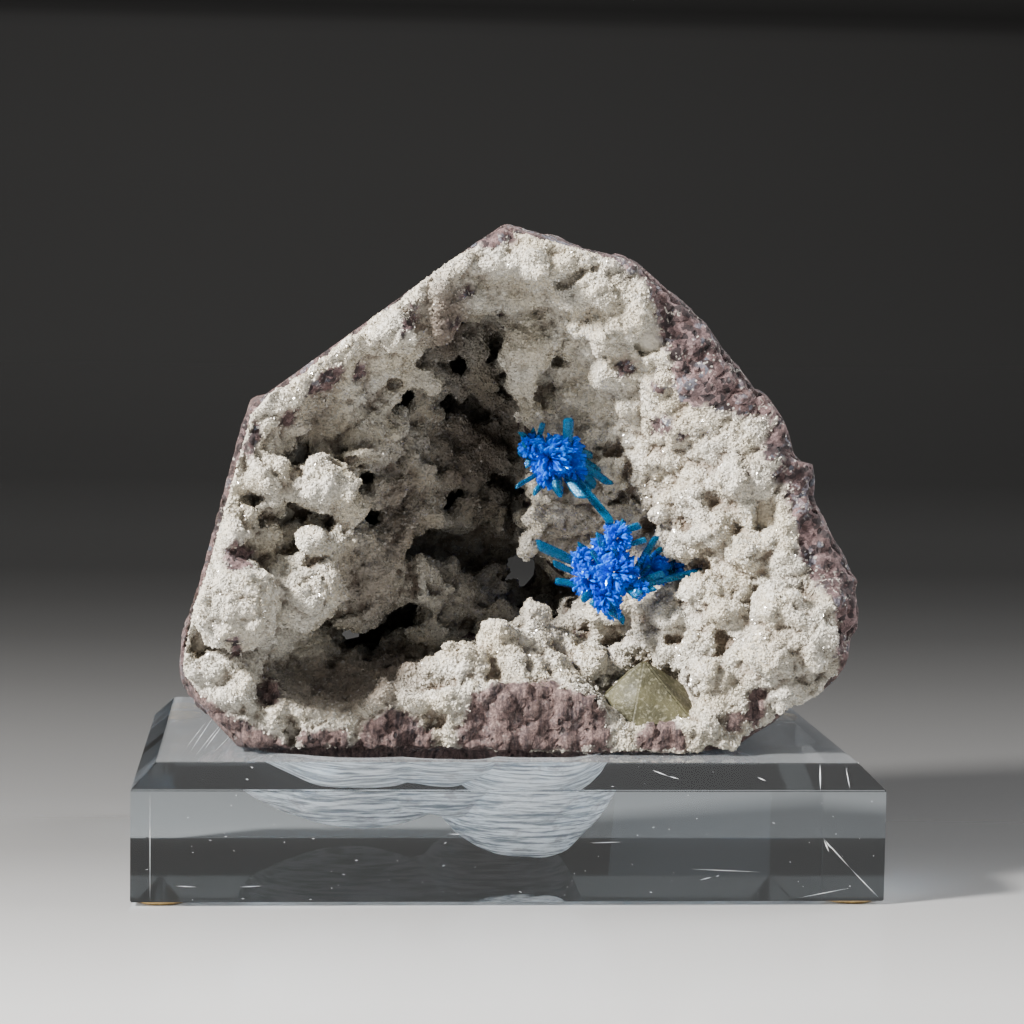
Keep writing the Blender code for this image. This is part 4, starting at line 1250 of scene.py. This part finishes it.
# Balls of short blades: middle as a pixel and a depth, radius in pixels, and how many.
BURSTS = (
    ((550, 458, -17.5), 23, 240), ((531, 446, -18.5), 13, 100), ((566, 454, -16.5), 19, 140),
    ((548, 476, -18.0), 13, 90), ((574, 470, -16.5), 14, 80), ((614, 572, -19.0), 24, 260),
    ((588, 578, -18.8), 18, 170), ((582, 558, -19.0), 12, 90), ((606, 596, -19.5), 17, 120),
    ((617, 538, -19.5), 16, 150), ((600, 546, -19.0), 10, 60), ((640, 590, -20.5), 10, 50),
    ((652, 570, -15.5), 18, 110), ((680, 568, -13.0), 10, 50), ((613, 612, -19.0), 9, 40),
)
BURST_SEED = 21


def add_blade(shape, across, root, tip, width, dice, slot):
    """A flat prism with bevelled sides and a slanted end, closed at both ends. Across tells the streaks apart."""
    along = (tip - root).normalized()
    lean = Vector((dice.uniform(-0.2, 0.6), -1.0, dice.uniform(-0.6, 0.2)))
    side = along.cross(lean).normalized()
    flat = along.cross(side).normalized()
    half, thick = width / 2, width / 2 * BLADE_THICKNESS * dice.uniform(0.7, 1.3)
    outline = ((-1.0, 0.0), (-0.72, 0.85), (-0.2, 1.0), (0.72, 0.8), (1.0, 0.0), (0.66, -0.85), (0.1, -1.0), (-0.72, -0.8))
    slant = dice.uniform(-0.7, 0.7)
    start = dice.uniform(0.0, 50.0)
    rows = []
    for share, narrow in ((0.0, 0.8), (0.5, 1.0), (0.93, 0.97), (1.0, 0.72)):
        row = []
        for a, b in outline:
            reach = share - (slant * a * half / max((tip - root).length, 1e-6) if share > 0.9 else 0.0)
            point = root + (tip - root) * reach + side * (a * half * narrow) + flat * (b * thick * narrow)
            vertex = shape.verts.new(point)
            vertex[across] = start + (a * 1.0 + b * 0.4)
            row.append(vertex)
        rows.append(row)
    count = len(outline)
    faces = [shape.faces.new(rows[0]), shape.faces.new(rows[-1][::-1])]
    for near, far in zip(rows, rows[1:]):
        for i in range(count):
            faces.append(shape.faces.new((near[i], far[i], far[(i + 1) % count], near[(i + 1) % count])))
    for face in faces:
        face.material_index = slot


dice = random.Random(BURST_SEED)
sprays = bmesh.new()
across = sprays.verts.layers.float.new("across")
for root, tip, width in UPPER_BLADES + LINK_BLADES + LOWER_BLADES + TOP_BLADES:
    root, tip = at_depth(*root), at_depth(*tip)
    add_blade(sprays, across, root, tip, width * millimetres_per_pixel(tip), dice, 1)
for middle, radius, count in BURSTS:
    middle = at_depth(*middle)
    reach = radius * millimetres_per_pixel(middle)
    for _ in range(count):
        ahead = Vector((dice.uniform(-1, 1), dice.uniform(-1.0, 0.35), dice.uniform(-1, 1))).normalized()
        long = reach * dice.uniform(0.82, 1.12)
        start = middle + ahead * long * 0.25
        add_blade(sprays, across, start, middle + ahead * long, dice.uniform(0.3, 0.8) * MM, dice, 0)
bmesh.ops.recalc_face_normals(sprays, faces=sprays.faces)
sprays_piece = piece_from("pentagonite_sprays", sprays, body_finish, blade_finish)
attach(sprays_piece, "root")
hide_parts("pentagonite_crystals")
print("pentagonite:", triangles(sprays_piece), "triangles")

# %% [markdown]
# ## Calcite
# One blunt olive crystal sits in the crust at the lower right. Its faces are satin, because they are lightly
# etched, and a little light passes through it. The CAD shape is right, so a copy of it is bevelled and roughened.

# %% Calcite
calcite_finish = Finish("calcite", {"IOR": 1.6, "Transmission Weight": 0.1, "Specular IOR Level": 0.25})
zone = calcite_finish.spread(calcite_finish.cloud(4.0, 2.0), 0.38, 0.62)
olive = calcite_finish.mixed(zone, tone(60, 58, 40), tone(82, 79, 56))
frost = calcite_finish.spread(calcite_finish.cloud(0.5, 3.0), 0.5, 0.72)
calcite_finish.feed("Base Color", calcite_finish.mixed(frost * 0.4, olive, tone(164, 160, 136)))
calcite_finish.feed("Roughness", calcite_finish.spread(calcite_finish.cloud(0.9, 3.0), 0.35, 0.65, 0.4, 0.62))
calcite_finish.feed("Normal", calcite_finish.bumped(calcite_finish.cloud(0.6, 4.0, 0.7), 0.16))
CALCITE_GROWTH, CALCITE_FORWARD = 1.2, 1.2
shape = merged_copy("calcite_crystal")
middle = sum((vertex.co for vertex in shape.verts), Vector()) / len(shape.verts)
for vertex in shape.verts:
    vertex.co = middle + (vertex.co - middle) * CALCITE_GROWTH - Vector((0.0, CALCITE_FORWARD * MM, 0.0))
bmesh.ops.bevel(shape, geom=shape.edges[:], offset=0.25 * MM, segments=2, affect="EDGES")
bmesh.ops.recalc_face_normals(shape, faces=shape.faces)
calcite_piece = piece_from("calcite_crystal_satin", shape, calcite_finish)
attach(calcite_piece, "root")
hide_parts("calcite_crystal")

# %% [markdown]
# ## The clear block
# The stand is a block of acrylic with a bevel round its top and polished edges. A cutter milled a pocket for the
# underside of the rock, and that surface stayed frosted. The block is cut in the same way here: a bevelled
# block minus three rounded lobes, whose skin carries the marks of the cutter. The lobes bring the frosted finish
# with them through the Boolean, so the outside stays clear.

# %% Acrylic finishes
acrylic_finish = Finish("acrylic_polished", {
    "Roughness": 0.0, "IOR": 1.49, "Transmission Weight": 1.0,
})
acrylic_finish.absorbs((0.80, 0.93, 1.0, 1.0), 7.0)
hazed = acrylic_finish.spread(acrylic_finish.cloud(24.0, 2.0), 0.4, 0.6)
acrylic_finish.feed("Base Color", acrylic_finish.mixed(hazed, (0.92, 0.96, 0.99, 1.0), (0.95, 0.98, 1.0, 1.0)))
worn_finish = Finish("acrylic_worn_top", {"IOR": 1.49, "Transmission Weight": 0.8})
wiped_lines = worn_finish.cloud(0.5, 3.0, 0.6, worn_finish.stretched((1.0, 0.08, 1.0), (0.0, 0.0, 0.6)))
crossed_lines = worn_finish.cloud(0.4, 3.0, 0.6, worn_finish.stretched((0.06, 1.0, 1.0), (0.0, 0.0, -0.3)))
scratched = worn_finish.spread(wiped_lines, 0.6, 0.7) + worn_finish.spread(crossed_lines, 0.64, 0.72)
worn_finish.feed("Base Color", worn_finish.mixed(scratched * 0.5, tone(214, 218, 222), tone(252, 252, 252)))
worn_finish.feed("Roughness", worn_finish.spread(worn_finish.cloud(30.0), 0.3, 0.7, 0.015, 0.03))
# The milled skin glows faintly along its milling marks: painted light, standing in for light gathered inside the block.
frost_finish = Finish("acrylic_milled", {"IOR": 1.49, "Transmission Weight": 0.3, "Emission Strength": 0.17})
milled = frost_finish.cloud(0.7, 4.0, 0.65, frost_finish.stretched((0.1, 0.1, 1.6), (0.0, 0.12, 0.0)))
frosted = frost_finish.mixed(frost_finish.spread(milled, 0.36, 0.6), tone(112, 120, 130), tone(250, 252, 255))
# Painted view of the rock through the frost: purple-brown blotches on the milled skin.
rock_behind = frost_finish.spread(frost_finish.cloud(4.5, 4.0, 0.65), 0.56, 0.66)
frost_finish.feed("Base Color", frost_finish.mixed(rock_behind * 0.55, frosted, tone(104, 88, 94)))
frost_finish.feed("Roughness", frost_finish.spread(milled, 0.3, 0.7, 0.55, 0.25))
frost_finish.feed("Normal", frost_finish.bumped(milled, 0.15))
# Painted light: the glow is white along the milling marks and faint between them.
frost_finish.feed("Emission Color", frost_finish.mixed(frost_finish.spread(milled, 0.42, 0.6), tone(20, 22, 26), tone(255, 255, 255)))

# %% Clear block
BLOCK_BEVEL, POLISHED_EDGE = 3.4, 0.14
# The lobes of the pocket in millimetres: centre, then half sizes, as on the CAD stand.
POCKET_LOBES = (
    ((-20.5, -7.5, 20.5), (18.1, 21.0, 12.8)), ((3.0, -7.0, 20.5), (15.1, 21.0, 16.8)),
    ((-8.5, -8.0, 20.5), (15.5, 21.5, 10.8)),
)
LOBE_TOP = 0.1
MILLING_MARKS, POCKET_BULGE = 0.10, 2.2


def pocket_cutter(name, centre, half_sizes):
    """A ball stretched to the size of a lobe, flattened above its middle, its skin rippled by the cutter."""
    shape = bmesh.new()
    bmesh.ops.create_uvsphere(shape, u_segments=96, v_segments=64, radius=1.0)
    for vertex in shape.verts:
        ripple = 1 + MILLING_MARKS * noise.noise(vertex.co * 9.0) / half_sizes[0]
        ripple += POCKET_BULGE * max(0.0, noise.noise(vertex.co * 1.6 + Vector(centre))) / half_sizes[2]
        vertex.co = Vector(a * b for a, b in zip(vertex.co, half_sizes)) * ripple
        if vertex.co.z > 0:
            vertex.co.z *= LOBE_TOP
        vertex.co = (vertex.co + Vector(centre)) * MM
    cutter = piece_from(name, shape, frost_finish)
    cutter.hide_render = True
    return cutter


low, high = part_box("acrylic_stand")
shape = bmesh.new()
bmesh.ops.create_cube(shape, size=1.0)
for vertex in shape.verts:
    vertex.co = Vector(low[i] if vertex.co[i] < 0 else high[i] for i in range(3))
top_edges = [edge for edge in shape.edges if all(vertex.co.z > low.z + 1 * MM for vertex in edge.verts)]
bmesh.ops.bevel(shape, geom=top_edges, offset=BLOCK_BEVEL * MM, segments=1, affect="EDGES")
bmesh.ops.bevel(shape, geom=shape.edges[:], offset=POLISHED_EDGE * MM, segments=2, affect="EDGES")
for face in shape.faces:
    if face.normal.z > 0.99:
        face.material_index = 1
block = piece_from("acrylic_block", shape, acrylic_finish, worn_finish)
cutters = [pocket_cutter(f"pocket_cutter_{number}", *lobe) for number, lobe in enumerate(POCKET_LOBES)]
for cutter in cutters:
    modifier = block.modifiers.new(cutter.name, "BOOLEAN")
    modifier.operation = "DIFFERENCE"
    modifier.solver = "EXACT"
    modifier.material_mode = "TRANSFER"
    modifier.object = cutter
settle(block)
for cutter in cutters:
    bpy.data.objects.remove(cutter)
block.data.shade_smooth()
block.data.set_sharp_from_angle(angle=math.radians(25))
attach(block, "root")
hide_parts("acrylic_stand")
block.data.validate()
print("block:", triangles(block), "triangles, finishes", [slot.name for slot in block.data.materials])

# %% [markdown]
# ## Scratches and a painted edge highlight
# Years of handling have left scratches in the acrylic. Each catches the light as a thin white line, from any
# side, so it is a real shape here: a long thin diamond half sunk into the face. The longest ones are placed by
# the pixels of their ends, and the short ones are strewn by a seeded draw over the front. The upright line at
# pixel column 820 is no scratch but a painted highlight, where the back edge of the block catches the light; it
# is made in the same way.

# %% Scratches
# Each line: the pixels of its two ends and its width in pixels. The first two make the painted highlight of the back
# edge.
LONG_SCRATCHES_AND_EDGE_GLINT = (
    (820, 793, 820, 902, 1.8), (820, 764, 820.5, 790, 1.4), (823, 838, 850, 868, 0.9), (850, 868, 878, 897, 0.8),
    (824, 840, 829, 852, 1.4), (826, 842, 832, 849, 1.2), (846, 768, 850, 789, 0.8), (652, 770, 668, 776, 0.9),
    (668, 776, 679, 779, 0.8), (757, 777, 766, 781, 0.8), (190, 752, 214, 716, 0.8), (196, 755, 224, 720, 0.7),
    (204, 750, 222, 726, 0.9), (186, 748, 206, 722, 0.6), (214, 752, 232, 734, 0.6), (150, 793, 150, 902, 0.5),
    (240, 887, 262, 886, 0.6), (176, 886, 196, 887, 0.6), (590, 843, 622, 842, 0.5), (690, 869, 760, 872, 0.4),
    (448, 834, 466, 834.5, 0.8), (710, 892, 722, 903, 0.9), (798, 898, 850, 888, 0.5), (700, 880, 712, 877, 0.6),
)
SPECKS, SPECK_SEED = 90, 3
BRIGHT_LINE_DEPTH = 0.02
# One white finish serves the scratches and the painted edge highlight.
scratch_and_glint_finish = Finish("scratch", {"IOR": 1.49, "Transmission Weight": 0.2})
broken_up = scratch_and_glint_finish.spread(scratch_and_glint_finish.cloud(0.9, 3.0), 0.35, 0.65)
scratch_and_glint_finish.feed("Base Color", scratch_and_glint_finish.mixed(broken_up, tone(196, 204, 212), tone(250, 251, 252)))
scratch_and_glint_finish.feed("Roughness", scratch_and_glint_finish.spread(broken_up, 0.0, 1.0, 0.3, 0.6))
stand = merged_copy("acrylic_stand")
stand_tree = BVHTree.FromBMesh(stand)
stand.free()


def add_bright_line(shape, start, end, width):
    """A long thin diamond between two pixels, half sunk into the face of the stand."""
    first, facing, _, _ = stand_tree.ray_cast(CAMERA_PLACE, sight(*start))
    last, _, _, _ = stand_tree.ray_cast(CAMERA_PLACE, sight(*end))
    if first is None or last is None or (last - first).length < 0.02 * MM:
        return
    along = (last - first).normalized()
    side = along.cross(facing).normalized() * width * millimetres_per_pixel(first) / 2
    middle = (first + last) / 2
    lift = facing * BRIGHT_LINE_DEPTH * MM
    ring = [shape.verts.new(middle + offset) for offset in (side, lift, -side, -lift)]
    tips = [shape.verts.new(first), shape.verts.new(last)]
    for i in range(4):
        shape.faces.new((tips[0], ring[i], ring[(i + 1) % 4]))
        shape.faces.new((tips[1], ring[(i + 1) % 4], ring[i]))


dice = random.Random(SPECK_SEED)
marks = bmesh.new()
for x0, y0, x1, y1, width in LONG_SCRATCHES_AND_EDGE_GLINT:
    add_bright_line(marks, (x0, y0), (x1, y1), width)
for _ in range(SPECKS):
    x, y, turned = dice.uniform(134, 880), dice.uniform(766, 900), dice.uniform(-0.5, 0.5)
    long = dice.choice((0.6, 0.8, 1.0, 1.5, 3.5))
    add_bright_line(marks, (x, y), (x + long * math.cos(turned), y + long * math.sin(turned)), dice.uniform(0.3, 0.7))
bmesh.ops.recalc_face_normals(marks, faces=marks.faces)
bright_lines = piece_from("acrylic_scratches_and_edge_glint", marks, scratch_and_glint_finish)
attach(bright_lines, "root")
print("scratches:", triangles(bright_lines), "triangles")

# %% [markdown]
# ## Pads
# Four thin discs of tan rubber keep the block off the table. Each is a copy of its CAD disc, given rounded
# edges.

# %% Pads
pad_finish = Finish("pad_rubber", {"IOR": 1.5})
mottled = pad_finish.spread(pad_finish.cloud(0.8, 3.0), 0.35, 0.65)
pad_finish.feed("Base Color", pad_finish.mixed(mottled, tone(168, 132, 78), tone(196, 162, 104)))
pad_finish.feed("Roughness", pad_finish.spread(mottled, 0.0, 1.0, 0.45, 0.65))
PAD_EDGE = 0.12
for node in ("foot_front_left", "foot_front_right", "foot_back_left", "foot_back_right"):
    shape = merged_copy(node)
    rim = [edge for edge in shape.edges if edge.calc_face_angle(0.0) > math.radians(40)]
    bmesh.ops.bevel(shape, geom=rim, offset=PAD_EDGE * MM, segments=3, affect="EDGES")
    bmesh.ops.recalc_face_normals(shape, faces=shape.faces)
    pad = piece_from(f"{node}_pad", shape, pad_finish)
    pad.data.shade_smooth()
    pad.data.set_sharp_from_angle(angle=math.radians(50))
    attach(pad, "root")
    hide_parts(node)
print("pads are in place")
